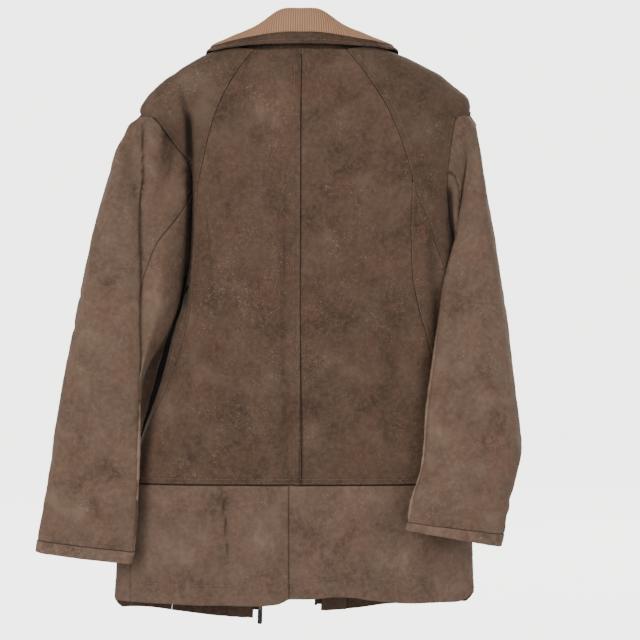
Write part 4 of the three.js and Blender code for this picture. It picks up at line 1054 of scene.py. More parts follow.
# hang loop: a folded strap with both ends sewn down
lu = np.linspace(0, 1, 61)
path = np.stack([np.interp(lu, [0, .06, .14, .2, .8, .86, .94, 1], [-33, -33, -32, -28, 28, 32, 33, 33]),
                 np.interp(lu, [0, .06, .14, .2, .8, .86, .94, 1], [52.3, 49.5, 45.6, 43.9, 43.9, 45.6, 49.5, 52.3])], 1)
for _ in range(3):
    path[1:-1] = 0.25 * path[:-2] + 0.5 * path[1:-1] + 0.25 * path[2:]
tz = np.linspace(-31, -23, 7)
hg = np.stack([np.stack([path[:, 0], path[:, 1], np.full(61, z)], 1) for z in tz])
hn = oriented(hg, np.array([0, 60, -27.0]))
hd = np.array([-0.5, 0.1, 0.15, 0.15, 0.15, 0.1, -0.5])
made["hang_loop"] = shell("leather_hang_loop", hg + hn * hd[:, None, None], hg - hn * 1.5)

# ------------------------------------------------------------------ zip
SLOPE = 0.01652
NP = np.array([0, -1, -SLOPE]); NP /= np.linalg.norm(NP)
plane_y = lambda z: -(60 - (-92.8 - z) * SLOPE)


def zip_frame(s):
    (x1, z1), (x0, z0) = ZIPS[s]
    lo, hi = np.array([x1, plane_y(z1), z1]), np.array([x0, plane_y(z0), z0])
    w = hi - lo
    L = np.linalg.norm(w)
    w /= L
    u = np.cross(w, NP)
    u /= np.linalg.norm(u)
    if u[0] * s > 0:
        u = -u
    return lo, u, w, L


def zp(Z, a, b, c):
    return Z[0] + Z[1] * np.asarray(a)[..., None] + Z[2] * np.asarray(b)[..., None] + NP * np.asarray(c)[..., None]


def finish_bevel(name, verts, faces, width, segments=2):
    ob = to_mesh(name, verts, faces, False)
    import bmesh
    bm = bmesh.new()
    bm.from_mesh(ob.data)
    bmesh.ops.recalc_face_normals(bm, faces=bm.faces)
    edges = [e for e in bm.edges if e.calc_face_angle(0) > 0.5]
    bmesh.ops.bevel(bm, geom=edges, offset=width / 1000, segments=segments, profile=0.6, affect="EDGES", clamp_overlap=True)
    bmesh.ops.remove_doubles(bm, verts=bm.verts, dist=1e-6)
    bmesh.ops.recalc_face_normals(bm, faces=bm.faces)
    bm.to_mesh(ob.data)
    bm.free()
    return ob


def prism(name, Z, outline, n0, n1, bevel=0.3, segments=2):
    o = np.array(outline, float)
    N = len(o)
    v = np.concatenate([zp(Z, o[:, 0], o[:, 1], np.full(N, n0)), zp(Z, o[:, 0], o[:, 1], np.full(N, n1))])
    faces = [list(range(N))[::-1], [N + i for i in range(N)]] + [[i, (i + 1) % N, N + (i + 1) % N, N + i] for i in range(N)]
    return finish_bevel(name, v, faces, bevel, segments)


def rect(a0, a1, b0, b1):
    return [(a0, b0), (a1, b0), (a1, b1), (a0, b1)]


TOOTH = 3.2
for s in (1, -1):
    n = LN[s]
    Z = zip_frame(s)
    # tape: a thin woven strip with a slightly raised edge cord
    us = np.array([-18, -17.4, -15, -12, -9, -6, -3, -1.6, -.4, .4, .9, 1.0])
    hs = np.array([-.2, .05, .05, .0, .05, .0, .0, .1, .75, .75, .1, -.2])
    ws = np.linspace(2, Z[3], 260)
    out = zp(Z, np.broadcast_to(us, (260, 12)), np.broadcast_to(ws[:, None], (260, 12)), -2.25 + np.broadcast_to(hs, (260, 12)) * 0.35)
    inn = zp(Z, np.broadcast_to(us, (260, 12)), np.broadcast_to(ws[:, None], (260, 12)), np.full((260, 12), -2.9))
    made["zip_tape_" + n] = shell("woven_zip_tape_" + n, out, inn)
    # separate teeth clamped on the tape's edge
    first = 10 + (6 if s > 0 else 10) - 4.5
    centres = np.arange(first + (0 if s > 0 else TOOTH / 2), Z[3] - 7, TOOTH)
    prof = [(-1.5, .78), (-1.1, .95), (0.9, .95), (1.5, .62), (2.4, .58), (3.0, .80), (3.8, .80), (4.1, .45)]
    V, F = [], []
    for b in centres:
        base_i = len(V)
        for a, hw in prof:
            V += [(a, b - hw, -1.75), (a, b + hw, -1.75), (a, b + hw * .8, .45), (a, b - hw * .8, .45)]
        for q in range(len(prof) - 1):
            for e in range(4):
                e2 = (e + 1) % 4
                F.append((base_i + 4 * q + e, base_i + 4 * q + e2, base_i + 4 * q + 4 + e2, base_i + 4 * q + 4 + e))
        F.append(tuple(base_i + e for e in (3, 2, 1, 0)))
        F.append(tuple(base_i + 4 * (len(prof) - 1) + e for e in (0, 1, 2, 3)))
    V = np.array(V)
    ob = finish_bevel("zip_teeth_" + n, zp(Z, V[:, 0], V[:, 1], V[:, 2]), F, 0.16, 1)
    made["zip_chain_" + n] = ob
    made["zip_top_stop_" + n] = prism("zip_stop_" + n, Z, rect(-1.6, 3.8, Z[3] - 5.7, Z[3] - 1), -1.9, 1.0, 0.5, 3)
ZL, ZR = zip_frame(1), zip_frame(-1)
made["zip_retaining_box"] = prism("zip_box", ZL, rect(-1.4, 5.4, 2, 9.7), -1.9, 1.0, 0.6, 3)
made["zip_insert_pin"] = prism("zip_pin", ZR, rect(-1.4, 2.6, 0, 9.7), -1.9, 0.6, 0.5, 3)
sec = [(-2.6, 0.9), (-2.6, 2.0), (7.4, 2.0), (7.4, -4.5), (-2.6, -4.5), (-2.6, -3.4), (4.8, -3.4), (4.8, 0.9)]
N8 = len(sec)
stations = [(10.2, .80), (12.5, .95), (16.2, 1.0), (20, 1.05), (22.2, .9)]
V, F = [], []
for b, k in stations:
    for a, c in sec:
        V.append((2.4 + (a - 2.4) * k, b, c))
for q in range(len(stations) - 1):
    for e in range(N8):
        F.append((q * N8 + e, q * N8 + (e + 1) % N8, (q + 1) * N8 + (e + 1) % N8, (q + 1) * N8 + e))
F.append(tuple(range(N8))[::-1])
F.append(tuple((len(stations) - 1) * N8 + e for e in range(N8)))
V = np.array(V)
made["zip_slider"] = finish_bevel("zip_slider_body", zp(ZL, V[:, 0], V[:, 1], V[:, 2]), F, 0.45, 3)
# bridge the pull hangs from, as part of the slider's look
br = np.linspace(0, math.pi, 13)
V, F = [], []
for th in br:
    for a, r in ((1.9, 1.7), (3.7, 1.7), (3.7, 2.6), (1.9, 2.6)):
        V.append((a, 15.4 + 3.6 * math.cos(th) * (r / 2.2), 1.9 + 2.0 * math.sin(th) * (r / 2.6)))
for q in range(12):
    for e in range(4):
        F.append((q * 4 + e, q * 4 + (e + 1) % 4, q * 4 + 4 + (e + 1) % 4, q * 4 + 4 + e))
F += [(3, 2, 1, 0), tuple(48 + e for e in range(4))]
V = np.array(V)
slider_bridge = finish_bevel("zip_slider_bridge", zp(ZL, V[:, 0], V[:, 1], V[:, 2]), F, 0.2, 2)
# pull tab with a raised rim
made["zip_pull"] = prism("zip_pull_tab", ZL, [(-0.7, 13), (-0.7, -18), (-.1, -19.4), (0.9, -20), (4.7, -20), (5.7, -19.4), (6.3, -18), (6.3, 13), (5.8, 14.4), (4.6, 15), (1.0, 15), (-.2, 14.4)], 2.5, 3.9, 0.45, 3)
pull_rib = prism("zip_pull_rib", ZL, [(1.0, 2), (1.0, -16), (1.6, -17.4), (4.0, -17.4), (4.6, -16), (4.6, 2), (4.0, 3.4), (1.6, 3.4)], 3.7, 4.35, 0.25, 2)

# ------------------------------------------------------------------ topstitching
def vline(hi, lo, step=2.0):
    return np.linspace(hi, lo, max(int((hi - lo) / step), 3))


BACK_KEY = "thread_body"
for off, hi, lo in ((1.7, -14, -625), (9.6, -14, -625)):
    v = vline(hi, lo)
    body_row(BACK_KEY, a_back(c_mid(v) + off, v), v, skip=0.05)
for s in (1, -1):
    v = vline(-14, -625)
    body_row(BACK_KEY, a_back(c_seam[s](v) + s * 1.9, v), v, skip=0.08, seed=3)
    if s < 0:
        v2 = vline(-14, -625)
        body_row(BACK_KEY, a_back(c_seam[s](v2) - 10.0, v2), v2, skip=0.06, seed=5)
    else:
        v2 = vline(-14, -190)
        body_row(BACK_KEY, a_back(c_seam[s](v2) + 9.0, v2), v2, skip=0.25, seed=5)
        v2 = vline(-240, -625)
        body_row(BACK_KEY, a_back(c_seam[s](v2) + 8.5, v2), v2, skip=0.12, seed=6)
    v = vline(-202, -342)
    body_row(BACK_KEY, a_back(c_branch[s](v) + s * 2.0, v), v, skip=0.1, seed=7)
    # armhole, on the body side
    v = vline(-100, -300)
    body_row(BACK_KEY, a_back(c_arm[s](v) - s * 3.0, v), v, skip=0.1 if s < 0 else 0.3, seed=8)
    v = vline(-100, -300)
    body_row(BACK_KEY, a_front(c_arm[s](v) - s * 5.5, v), v, skip=0.1, seed=9)
    # waist rows and hem rows
    for vv in (-626.2, -620.6):
        aa = np.linspace(0.002 if s > 0 else -0.002, s * 0.985, 130)
        body_row(BACK_KEY, aa, np.full(130, vv), skip=0.06, seed=10)
    for vv in (-774.5,):
        aa = np.linspace(s * 0.004, s * 0.995, 160)
        body_row(BACK_KEY, aa, np.full(160, vv), skip=0.08, seed=11)
        aa = np.linspace(s * 1.01, a_front(hinge_x(s)(np.array([vv])), np.array([vv]))[0] - s * 0.004, 60)
        body_row(BACK_KEY, aa, np.full(60, vv), skip=0.08, seed=12)
        va = np.full(80, vv)
        aa = np.linspace(a_front(hinge_x(s)(va[:1]), va[:1])[0] + s * 0.004, a_front(zip_x(s)(va[:1]) + s * 14, va[:1])[0], 80)
        body_row("thread_front_" + LN[s], aa, va, skip=0.06, seed=13)
    # side seams down the skirt
    v = vline(-640, -800)
    body_row(BACK_KEY, np.full(len(v), s * 0.968), v, skip=0.1, seed=14)
    if s > 0:
        v = vline(-640, -800)
        body_row(BACK_KEY, np.full(len(v), 0.90), v, skip=0.15, seed=15)
    # front: edge rows beside the zip, welt rows
    v = vline(-104, -800)
    zx, hx = zip_x(s), hinge_x(s)
    body_row("thread_front_" + LN[s], a_front(zx(v) + s * 9.6, v), v, skip=0.04, seed=16)
    body_row("thread_front_" + LN[s], a_front(zx(v) + s * 16.2, v), v, skip=0.04, seed=17)
    w0 = lambda v, s=s: s * (100 + 22 * (-470 - v) / 128.0) + (6 if s < 0 else 0)
    v = vline(-466, -602)
    body_row("thread_front_" + LN[s], a_front(w0(v) - s * 2.4, v), v, skip=0.04, seed=18)
    body_row("thread_front_" + LN[s], a_front(w0(v) + s * 16.4, v), v, skip=0.04, seed=19)
    for ve in (-466, -602):
        xx = np.linspace(w0(ve) - s * 2.4, w0(ve) + s * 16.4, 12)
        body_row("thread_front_" + LN[s], a_front(xx, np.full(12, ve)), np.full(12, ve), skip=0, seed=20)
    # sleeves: along the seams and round the cuff
    go, gn, gt = SLEEVE_GRID["nubuck_sleeve_upper_" + LN[s]]
    uo, un, ut = SLEEVE_GRID["nubuck_sleeve_under_" + LN[s]]
    key = "thread_sleeve_" + LN[s]
    stitches(key, go[6:-4, 2] * 1.0, gn[6:-4, 2], skip=0.1, seed=21)
    stitches(key, go[6:-4, -3], gn[6:-4, -3], skip=0.1, seed=22)
    for grid_o, grid_n in ((go, gn), (uo, un)):
        for r in (-4, -6):
            stitches(key, grid_o[r, 2:-2], grid_n[r, 2:-2], skip=0.12, seed=23 + r)
    co, cn2, ct = SLEEVE_GRID["nubuck_cuff_" + LN[s]]
# collar rows
g, nn = COLLAR_LEAF
r_leaf = int(np.argmin(np.abs(LEAF_T - 0.90)))
stitches("thread_body", g[r_leaf, 4:-4], nn[r_leaf, 4:-4], skip=0.05, seed=31)
sg_, sn_ = COLLAR_STAND
aa = np.linspace(-0.42, 0.42, 90)
body_row("thread_body", aa, np.full(90, -13.8), skip=0.3, seed=32)
# label: a row of positions across it, not stitched
la = np.linspace(a_back(-25.5, -40.0), a_back(25.5, -40.0), 30)


# ------------------------------------------------------------------ materials
def lin(r, g, b):
    f = lambda c: ((c / 255 + 0.055) / 1.055) ** 2.4 if c > 10.3 else c / 255 / 12.92
    return (f(r), f(g), f(b), 1.0)


class Mat:
    def __init__(self, name):
        self.m = bpy.data.materials.new(name)
        self.m.use_nodes = True
        self.t = self.m.node_tree
        self.b = self.t.nodes["Principled BSDF"]
        self.rest = self.t.nodes.new("ShaderNodeAttribute")
        self.rest.attribute_name = "rest"
        self.rest.attribute_type = "GEOMETRY"

    def map(self, sx=1, sy=1, sz=1, rot=(0, 0, 0), loc=(0, 0, 0)):
        n = self.t.nodes.new("ShaderNodeMapping")
        n.inputs["Scale"].default_value = (sx, sy, sz)
        n.inputs["Rotation"].default_value = rot
        n.inputs["Location"].default_value = loc
        self.t.links.new(self.rest.outputs["Vector"], n.inputs["Vector"])
        return n.outputs["Vector"]

    def noise(self, scale, detail=3, rough=0.55, vec=None, dist=0.0):
        n = self.t.nodes.new("ShaderNodeTexNoise")
        n.inputs["Scale"].default_value = scale
        n.inputs["Detail"].default_value = detail
        n.inputs["Roughness"].default_value = rough
        n.inputs["Distortion"].default_value = dist
        self.t.links.new(vec or self.rest.outputs["Vector"], n.inputs["Vector"])
        return n.outputs["Fac"]

    def voronoi(self, scale, vec=None, feature="F1"):
        n = self.t.nodes.new("ShaderNodeTexVoronoi")
        n.feature = feature
        n.inputs["Scale"].default_value = scale
        self.t.links.new(vec or self.rest.outputs["Vector"], n.inputs["Vector"])
        return n.outputs["Distance"]

    def wave(self, scale, direction="X", dist=0.0, vec=None, profile="SIN"):
        n = self.t.nodes.new("ShaderNodeTexWave")
        n.bands_direction = direction
        n.wave_profile = profile
        n.inputs["Scale"].default_value = scale
        n.inputs["Distortion"].default_value = dist
        self.t.links.new(vec or self.rest.outputs["Vector"], n.inputs["Vector"])
        return n.outputs["Fac"]

    def ramp(self, fac, stops, interp="EASE"):
        n = self.t.nodes.new("ShaderNodeValToRGB")
        n.color_ramp.interpolation = interp
        e = n.color_ramp.elements
        while len(e) > 1:
            e.remove(e[-1])
        e[0].position, e[0].color = stops[0][0], stops[0][1]
        for p, c in stops[1:]:
            x = e.new(p)
            x.color = c
        self.t.links.new(fac, n.inputs["Fac"])
        return n.outputs["Color"]

    def grey(self, fac, a, b, lo=0.0, hi=1.0):
        return self.ramp(fac, [(a, (lo, lo, lo, 1)), (b, (hi, hi, hi, 1))], "EASE")

    def mix(self, fac, a, b, mode="MIX"):
        n = self.t.nodes.new("ShaderNodeMix")
        n.data_type = "RGBA"
        n.blend_type = mode
        for sock, val in ((n.inputs[0], fac), (n.inputs[6], a), (n.inputs[7], b)):
            if isinstance(val, (int, float)):
                sock.default_value = val
            elif isinstance(val, tuple):
                sock.default_value = val
            else:
                self.t.links.new(val, sock)
        return n.outputs[2]

    def math(self, op, a, b=0.0):
        n = self.t.nodes.new("ShaderNodeMath")
        n.operation = op
        for i, val in enumerate((a, b)):
            if isinstance(val, (int, float)):
                n.inputs[i].default_value = val
            else:
                self.t.links.new(val, n.inputs[i])
        return n.outputs[0]

    def attr(self, name):
        n = self.t.nodes.new("ShaderNodeAttribute")
        n.attribute_name = name
        return n.outputs["Fac"]

    def bump(self, height, strength, distance):
        n = self.t.nodes.new("ShaderNodeBump")
        n.inputs["Strength"].default_value = strength
        n.inputs["Distance"].default_value = distance
        self.t.links.new(height, n.inputs["Height"])
        self.t.links.new(n.outputs["Normal"], self.b.inputs["Normal"])

    def base(self, c):
        self.t.links.new(c, self.b.inputs["Base Color"])

    def rough(self, c):
        self.t.links.new(c, self.b.inputs["Roughness"])

    def set(self, **kw):
        for k, v in kw.items():
            self.b.inputs[k.replace("_", " ")].default_value = v


def nubuck(name, dark, mid, light, seed=0.0, grime=0.16, scuff=1.0):
    m = Mat(name)
    off = m.map(1, 1, 1, loc=(seed, seed * 1.7, seed * 0.6))
    tall = m.map(1, 1, 0.85, loc=(seed + 3, 1, 2))
    big = m.noise(14, 4, 0.6, off, 0.5)
    med = m.noise(30, 6, 0.66, tall, 0.8)
    c = m.ramp(big, [(0.30, dark), (0.52, mid), (0.72, light)])
    cloud = m.ramp(med, [(0.30, (0.80, 0.80, 0.80, 1)), (0.5, (0.98, 0.98, 0.98, 1)), (0.70, (1.17, 1.16, 1.15, 1))])
    c = m.mix(1.0, c, cloud, "MULTIPLY")
    # redder and greyer islands
    hue = m.noise(26, 4, 0.62, m.map(1, 1, 0.8, loc=(9 + seed, 4, 1)))
    c = m.mix(m.grey(hue, 0.50, 0.66, 0, 0.55), c, (mid[0] * 1.10, mid[1] * 0.93, mid[2] * 0.90, 1))
    c = m.mix(m.grey(hue, 0.48, 0.32, 0, 0.50), c, (mid[0] * 0.84, mid[1] * 0.94, mid[2] * 0.90, 1))
    # brushed nap: small cloudy flecks
    nap = m.noise(150, 5, 0.75, off)
    c = m.mix(m.grey(nap, 0.42, 0.62, 0, 0.34), c, (light[0] * 1.15, light[1] * 1.15, light[2] * 1.12, 1))
    # scuffs and worn flecks, gathered in places
    where = m.noise(16, 4, 0.7, m.map(1, 1, 0.8, loc=(2 + seed, 7, 3)), 1.2)
    fleck = m.noise(420, 3, 0.7, off)
    mask = m.math("MULTIPLY", m.grey(where, 0.47, 0.66), m.grey(fleck, 0.56, 0.67))
    c = m.mix(m.math("MULTIPLY", mask, 0.46 * scuff), c, lin(176, 152, 130))
    scratch = m.noise(70, 4, 0.8, m.map(1.0, 1.0, 0.12, rot=(0, 0.5, 0), loc=(seed, 2, 8)), 2.0)
    c = m.mix(m.math("MULTIPLY", m.grey(scratch, 0.66, 0.74), m.grey(where, 0.46, 0.60, 0, 0.5 * scuff)), c, lin(168, 143, 122))
    # dark stains
    spot = m.voronoi(26, m.map(1, 1, 0.8, loc=(5 + seed, 3, 9)))
    c = m.mix(m.math("MULTIPLY", m.grey(spot, 0.12, 0.03), grime), c, (dark[0] * 0.45, dark[1] * 0.45, dark[2] * 0.45, 1))
    # rubbed edges and ridges lighter from wear; painted shade from the shade value in creases, seam grooves, sleeve
    # pits and folds
    wear_and_wale_shade = m.attr("wear_and_wale_shade")
    c = m.mix(m.math("MULTIPLY", m.grey(wear_and_wale_shade, 0.25, 0.9), m.grey(nap, 0.36, 0.56, 0.35, 0.85)), c, lin(163, 137, 115))
    c = m.mix(m.grey(m.attr("shade"), 0.0, 1.0, 0, 0.93), c, (dark[0] * 0.16, dark[1] * 0.14, dark[2] * 0.13, 1))
    m.base(c)
    m.rough(m.grey(med, 0.3, 0.7, 0.93, 0.74))
    h = m.math("ADD", m.math("MULTIPLY", m.noise(620, 4, 0.7), 0.55), m.math("MULTIPLY", m.noise(150, 5, 0.65), 0.9))
    h = m.math("ADD", h, m.math("MULTIPLY", m.voronoi(210), 0.25))
    m.bump(h, 0.55, 0.0011)
    m.set(Sheen_Weight=0.12, Sheen_Roughness=0.45, Specular_IOR_Level=0.22)
    m.b.inputs["Sheen Tint"].default_value = (0.9, 0.78, 0.68, 1)
    return m.m


GAIN = 1.0


def sc(c, k=1.0):
    return (c[0] * k * GAIN, c[1] * k * GAIN, c[2] * k * GAIN, 1)


BODY_D, BODY_M, BODY_L = sc(lin(75, 57, 46)), sc(lin(94, 73, 60)), sc(lin(113, 91, 77))
SLV_D, SLV_M, SLV_L = sc(lin(92, 72, 59)), sc(lin(112, 90, 76)), sc(lin(130, 108, 92))
m_body = nubuck("nubuck_body_mat", BODY_D, BODY_M, BODY_L, 0.0)
m_body2 = nubuck("nubuck_side_mat", BODY_D, BODY_M, BODY_L, 4.3)
m_shoulder = nubuck("nubuck_shoulder_mat", sc(lin(74, 57, 45)), sc(lin(90, 71, 58)), sc(lin(106, 86, 72)), 8.1)
m_skirt = nubuck("nubuck_skirt_mat", sc(lin(88, 68, 56)), sc(lin(112, 90, 77)), sc(lin(130, 108, 94)), 2.2)
m_sleeve = nubuck("nubuck_sleeve_mat", SLV_D, SLV_M, SLV_L, 6.4, scuff=1.15)
m_cuff = nubuck("nubuck_cuff_mat", SLV_D, sc(lin(120, 98, 84)), sc(lin(142, 120, 103)), 1.4, scuff=1.3)
m_collar = nubuck("leather_collar_mat", sc(lin(60, 46, 37)), sc(lin(78, 61, 50)), sc(lin(98, 80, 67)), 3.3, scuff=0.9)

M = Mat("corduroy_mat")
w = M.attr("wear_and_wale_shade")
cfib = M.noise(900, 3, 0.7)
cb = M.noise(18, 4, 0.6)
# ribs lighter, grooves darker: partly the pile's own tone, partly painted shade in the grooves
c = M.ramp(w, [(0.0, sc(lin(110, 74, 52))), (0.45, sc(lin(160, 116, 88))), (1.0, sc(lin(196, 150, 119)))])
c = M.mix(M.grey(cb, 0.3, 0.7, 0, 0.22), c, sc(lin(202, 160, 130)))
c = M.mix(M.grey(cfib, 0.4, 0.7, 0, 0.16), c, sc(lin(212, 176, 148)))
M.base(c)
M.rough(M.grey(cfib, 0.3, 0.7, 0.98, 0.85))
M.bump(M.math("ADD", M.math("MULTIPLY", cfib, 0.5), M.noise(300, 3, 0.6)), 0.5, 0.0006)
M.set(Sheen_Weight=0.15, Sheen_Roughness=0.4, Specular_IOR_Level=0.15)
M.b.inputs["Sheen Tint"].default_value = (1, 0.86, 0.74, 1)
m_cord = M.m

M = Mat("satin_lining_mat")
wv = M.math("MULTIPLY", M.wave(520, "X"), M.wave(520, "Z"))
big = M.noise(20, 4, 0.6, M.map(1, 1, 0.3))
c = M.ramp(big, [(0.3, sc(lin(46, 36, 30))), (0.7, sc(lin(68, 55, 46)))])
c = M.mix(M.grey(wv, 0.2, 0.8, 0, 0.35), c, sc(lin(84, 70, 60)))
M.base(c)
M.rough(M.grey(big, 0.3, 0.7, 0.42, 0.30))
M.bump(wv, 0.25, 0.0003)
M.set(Sheen_Weight=0.2, Specular_IOR_Level=0.5)
m_satin = M.m

M = Mat("cotton_pocket_mat")
wv = M.math("ADD", M.wave(420, "X"), M.wave(420, "Z"))
c = M.ramp(M.noise(40, 4, 0.6), [(0.3, sc(lin(128, 117, 100))), (0.7, sc(lin(152, 141, 122)))])
M.base(M.mix(M.grey(wv, 0.6, 1.5, 0, 0.25), c, sc(lin(100, 90, 76))))
M.rough(M.grey(wv, 0.5, 1.5, 0.95, 0.85))
M.bump(wv, 0.4, 0.0004)
m_cotton = M.m

M = Mat("woven_label_mat")
wv = M.math("MULTIPLY", M.wave(600, "X"), M.wave(600, "Z"))
c = M.ramp(M.noise(60, 3, 0.6), [(0.3, sc(lin(34, 29, 26))), (0.7, sc(lin(50, 44, 39)))])
M.base(M.mix(M.grey(wv, 0.2, 0.8, 0, 0.3), c, sc(lin(90, 80, 70))))
M.rough(M.grey(wv, 0.3, 0.8, 0.75, 0.55))
M.bump(wv, 0.4, 0.0003)
m_label = M.m

M = Mat("zip_tape_mat")
wv = M.math("ADD", M.wave(330, "Z"), M.wave(330, "DIAGONAL"))
c = M.ramp(wv, [(0.4, sc(lin(36, 29, 24))), (1.5, sc(lin(66, 54, 45)))])
M.base(M.mix(M.grey(M.noise(50, 4, 0.6), 0.4, 0.7, 0, 0.3), c, sc(lin(88, 74, 62))))
M.rough(M.grey(wv, 0.4, 1.6, 0.95, 0.8))
M.bump(wv, 0.5, 0.0005)
m_tape = M.m

M = Mat("zip_brass_mat")
tr = M.noise(160, 5, 0.7)
c = M.ramp(tr, [(0.32, sc(lin(92, 80, 62))), (0.5, sc(lin(134, 120, 98))), (0.7, sc(lin(168, 154, 130)))])
M.base(c)
M.rough(M.grey(tr, 0.3, 0.7, 0.5, 0.28))
M.bump(M.noise(900, 3, 0.6), 0.15, 0.0002)
M.set(Metallic=1.0)
m_brass = M.m

M = Mat("zip_pull_mat")
tr = M.noise(220, 5, 0.7)
c = M.ramp(tr, [(0.35, sc(lin(50, 50, 56))), (0.6, sc(lin(74, 74, 82))), (0.72, sc(lin(112, 110, 112)))])
M.base(c)
M.rough(M.grey(tr, 0.3, 0.7, 0.55, 0.35))
M.bump(M.noise(700, 3, 0.6), 0.15, 0.0002)
M.set(Metallic=0.55)
m_pull = M.m

M = Mat("thread_mat")
tr = M.noise(260, 4, 0.7)
c = M.ramp(tr, [(0.30, sc(lin(98, 77, 63))), (0.52, sc(lin(136, 112, 94))), (0.72, sc(lin(172, 146, 124)))])
M.base(c)
M.rough(M.grey(tr, 0.3, 0.7, 0.9, 0.7))
M.bump(M.wave(900, "DIAGONAL"), 0.4, 0.0002)
M.set(Sheen_Weight=0.15)
m_thread = M.m


# ------------------------------------------------------------------ bodies, materials, vertex values
def near_edges(ob, R, C):
    """Returns None; nothing is computed."""
    return None


def rest_attr(ob):
    me = ob.data
    co = np.empty(len(me.vertices) * 3, np.float32)
    me.vertices.foreach_get("co", co)
    a = me.attributes.get("rest") or me.attributes.new("rest", "FLOAT_VECTOR", "POINT")
    a.data.foreach_set("vector", co)
    return co.reshape(-1, 3)


def set_attr(ob, name, vals):
    a = ob.data.attributes.get(name) or ob.data.attributes.new(name, "FLOAT", "POINT")
    a.data.foreach_set("value", np.asarray(vals, np.float32))


def curvature(ob, co):
    """Positive on ridges, negative in creases: how far a point stands over its neighbours."""
    me = ob.data
    e = np.empty(len(me.edges) * 2, np.int32)
    me.edges.foreach_get("vertices", e)
    e = e.reshape(-1, 2)
    nrm = np.empty(len(me.vertices) * 3, np.float32)
    me.vertex_normals.foreach_get("vector", nrm)
    nrm = nrm.reshape(-1, 3)
    d = co[e[:, 1]] - co[e[:, 0]]
    L = np.maximum(np.linalg.norm(d, axis=1), 1e-6)
    k = np.zeros(len(co))
    cnt = np.zeros(len(co))
    np.add.at(k, e[:, 0], -(d * nrm[e[:, 0]]).sum(1) / L)
    np.add.at(k, e[:, 1], (d * nrm[e[:, 1]]).sum(1) / L)
    np.add.at(cnt, e[:, 0], 1)
    np.add.at(cnt, e[:, 1], 1)
    k /= np.maximum(cnt, 1)
    for _ in range(2):                      # spread a little
        s = np.zeros(len(co))
        np.add.at(s, e[:, 0], k[e[:, 1]])
        np.add.at(s, e[:, 1], k[e[:, 0]])
        k = 0.5 * k + 0.5 * s / np.maximum(cnt, 1)
    return k


def put_blend(ob):
    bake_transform(ob)


def slim_lining(ob):
    # draws the sleeve lining in by 4 mm at the upper arm, clear of the leather
    c = np.empty(len(ob.data.vertices) * 3, np.float32)
    ob.data.vertices.foreach_get("co", c)
    c = c.reshape(-1, 3)
    zs = np.linspace(c[:, 2].min() + 0.01, c[:, 2].max() - 0.01, 40)
    mid = np.array([c[np.abs(c[:, 2] - z) < 0.014, :2].mean(axis=0) for z in zs])
    d = c[:, :2] - np.stack([np.interp(c[:, 2], zs, mid[:, 0]), np.interp(c[:, 2], zs, mid[:, 1])], axis=1)
    r = np.maximum(np.linalg.norm(d, axis=1, keepdims=True), 1e-6)
    c[:, :2] -= d / r * 0.004 * np.exp(-(((c[:, 2:] + 0.19) / 0.07) ** 2))
    ob.data.vertices.foreach_set("co", c.ravel())
    ob.data.update()


def settle(ob, mat, slot, nodes=(), wear_and_wale_shade=None, shade=None, leather=False):
    ob.data.materials.append(mat)
    co = rest_attr(ob)
    if leather:
        k = curvature(ob, co)
        # ridges get wear (lighter); creases get painted shade (darker)
        wv = np.clip(k * 3.2, 0, 1) if wear_and_wale_shade is None else wear_and_wale_shade
        sh = np.clip(-k * 4.0, 0, 1) if shade is None else shade
        # adds the painted shade kept in "edge": seam grooves, sleeve pits, fold creases
        if "edge" in ob.data.attributes:
            eg = np.empty(len(co), np.float32)
            ob.data.attributes["edge"].data.foreach_get("value", eg)
            sh = np.maximum(sh, eg)
            wv = wv * (1 - np.clip(eg * 3, 0, 1))
        set_attr(ob, "wear_and_wale_shade", wv)
        set_attr(ob, "shade", sh)
    elif wear_and_wale_shade is not None:
        set_attr(ob, "wear_and_wale_shade", wear_and_wale_shade)
    if nodes:
        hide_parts(*nodes)
    return co * 1000.0


for s in (1, -1):
    n = LN[s]
    for key, mat, slot in (("back_panel_", m_body, "leather_body"), ("shoulder_panel_", m_shoulder, "leather_body"), ("back_side_panel_", m_body2, "leather_body"),
                           ("back_skirt_", m_skirt, "leather_body"), ("front_side_panel_", m_body2, "leather_body"), ("side_lining_", m_satin, "lining")):
        ob = made[key + n]
        settle(ob, mat, slot, (key + n,), leather=slot != "lining")
        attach(ob, "jacket_body")
    for key, mat, slot in (("front_panel_", m_body, "leather_body"), ("front_facing_", m_body2, "leather_body"), ("front_lining_", m_satin, "lining"),
                           ("pocket_welt_", m_shoulder, "leather_body"), ("pocket_bag_", m_cotton, "pocket_cloth")):
        ob = made[key + n]
        co = settle(ob, mat, slot, (key + n,), leather=slot == "leather_body")
        put_blend(ob)
    for key, mat, slot in (("zip_tape_", m_tape, "zip_tape"), ("zip_chain_", m_brass, "zip_metal"), ("zip_top_stop_", m_brass, "zip_metal")):
        ob = made[key + n]
        settle(ob, mat, slot, (key + n,))
        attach(ob, n + "_front")
    for key, mat, slot in (("sleeve_upper_", m_sleeve, "leather_sleeve"), ("sleeve_under_", m_sleeve, "leather_sleeve"), ("cuff_hem_", m_cuff, "leather_sleeve"), ("sleeve_lining_", m_satin, "lining")):
        ob = made[key + n]
        if slot == "lining":
            slim_lining(ob)
        settle(ob, mat, slot, (key + n,), leather=slot != "lining")
        t = np.empty(len(ob.data.vertices), np.float32)
        ob.data.attributes["sleeve_t"].data.foreach_get("value", t)
        put_blend(ob)
for key, mat, slot, lea in (("back_lining", m_satin, "lining", False), ("neck_label", m_label, "label", False), ("collar_stand", m_collar, "leather_collar", True),
                            ("collar_leaf", m_collar, "leather_collar", True), ("hang_loop", m_collar, "leather_collar", True)):
    settle(made[key], mat, slot, (key,), leather=lea)
    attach(made[key], "jacket_body")
ob = made["collar_corduroy"]
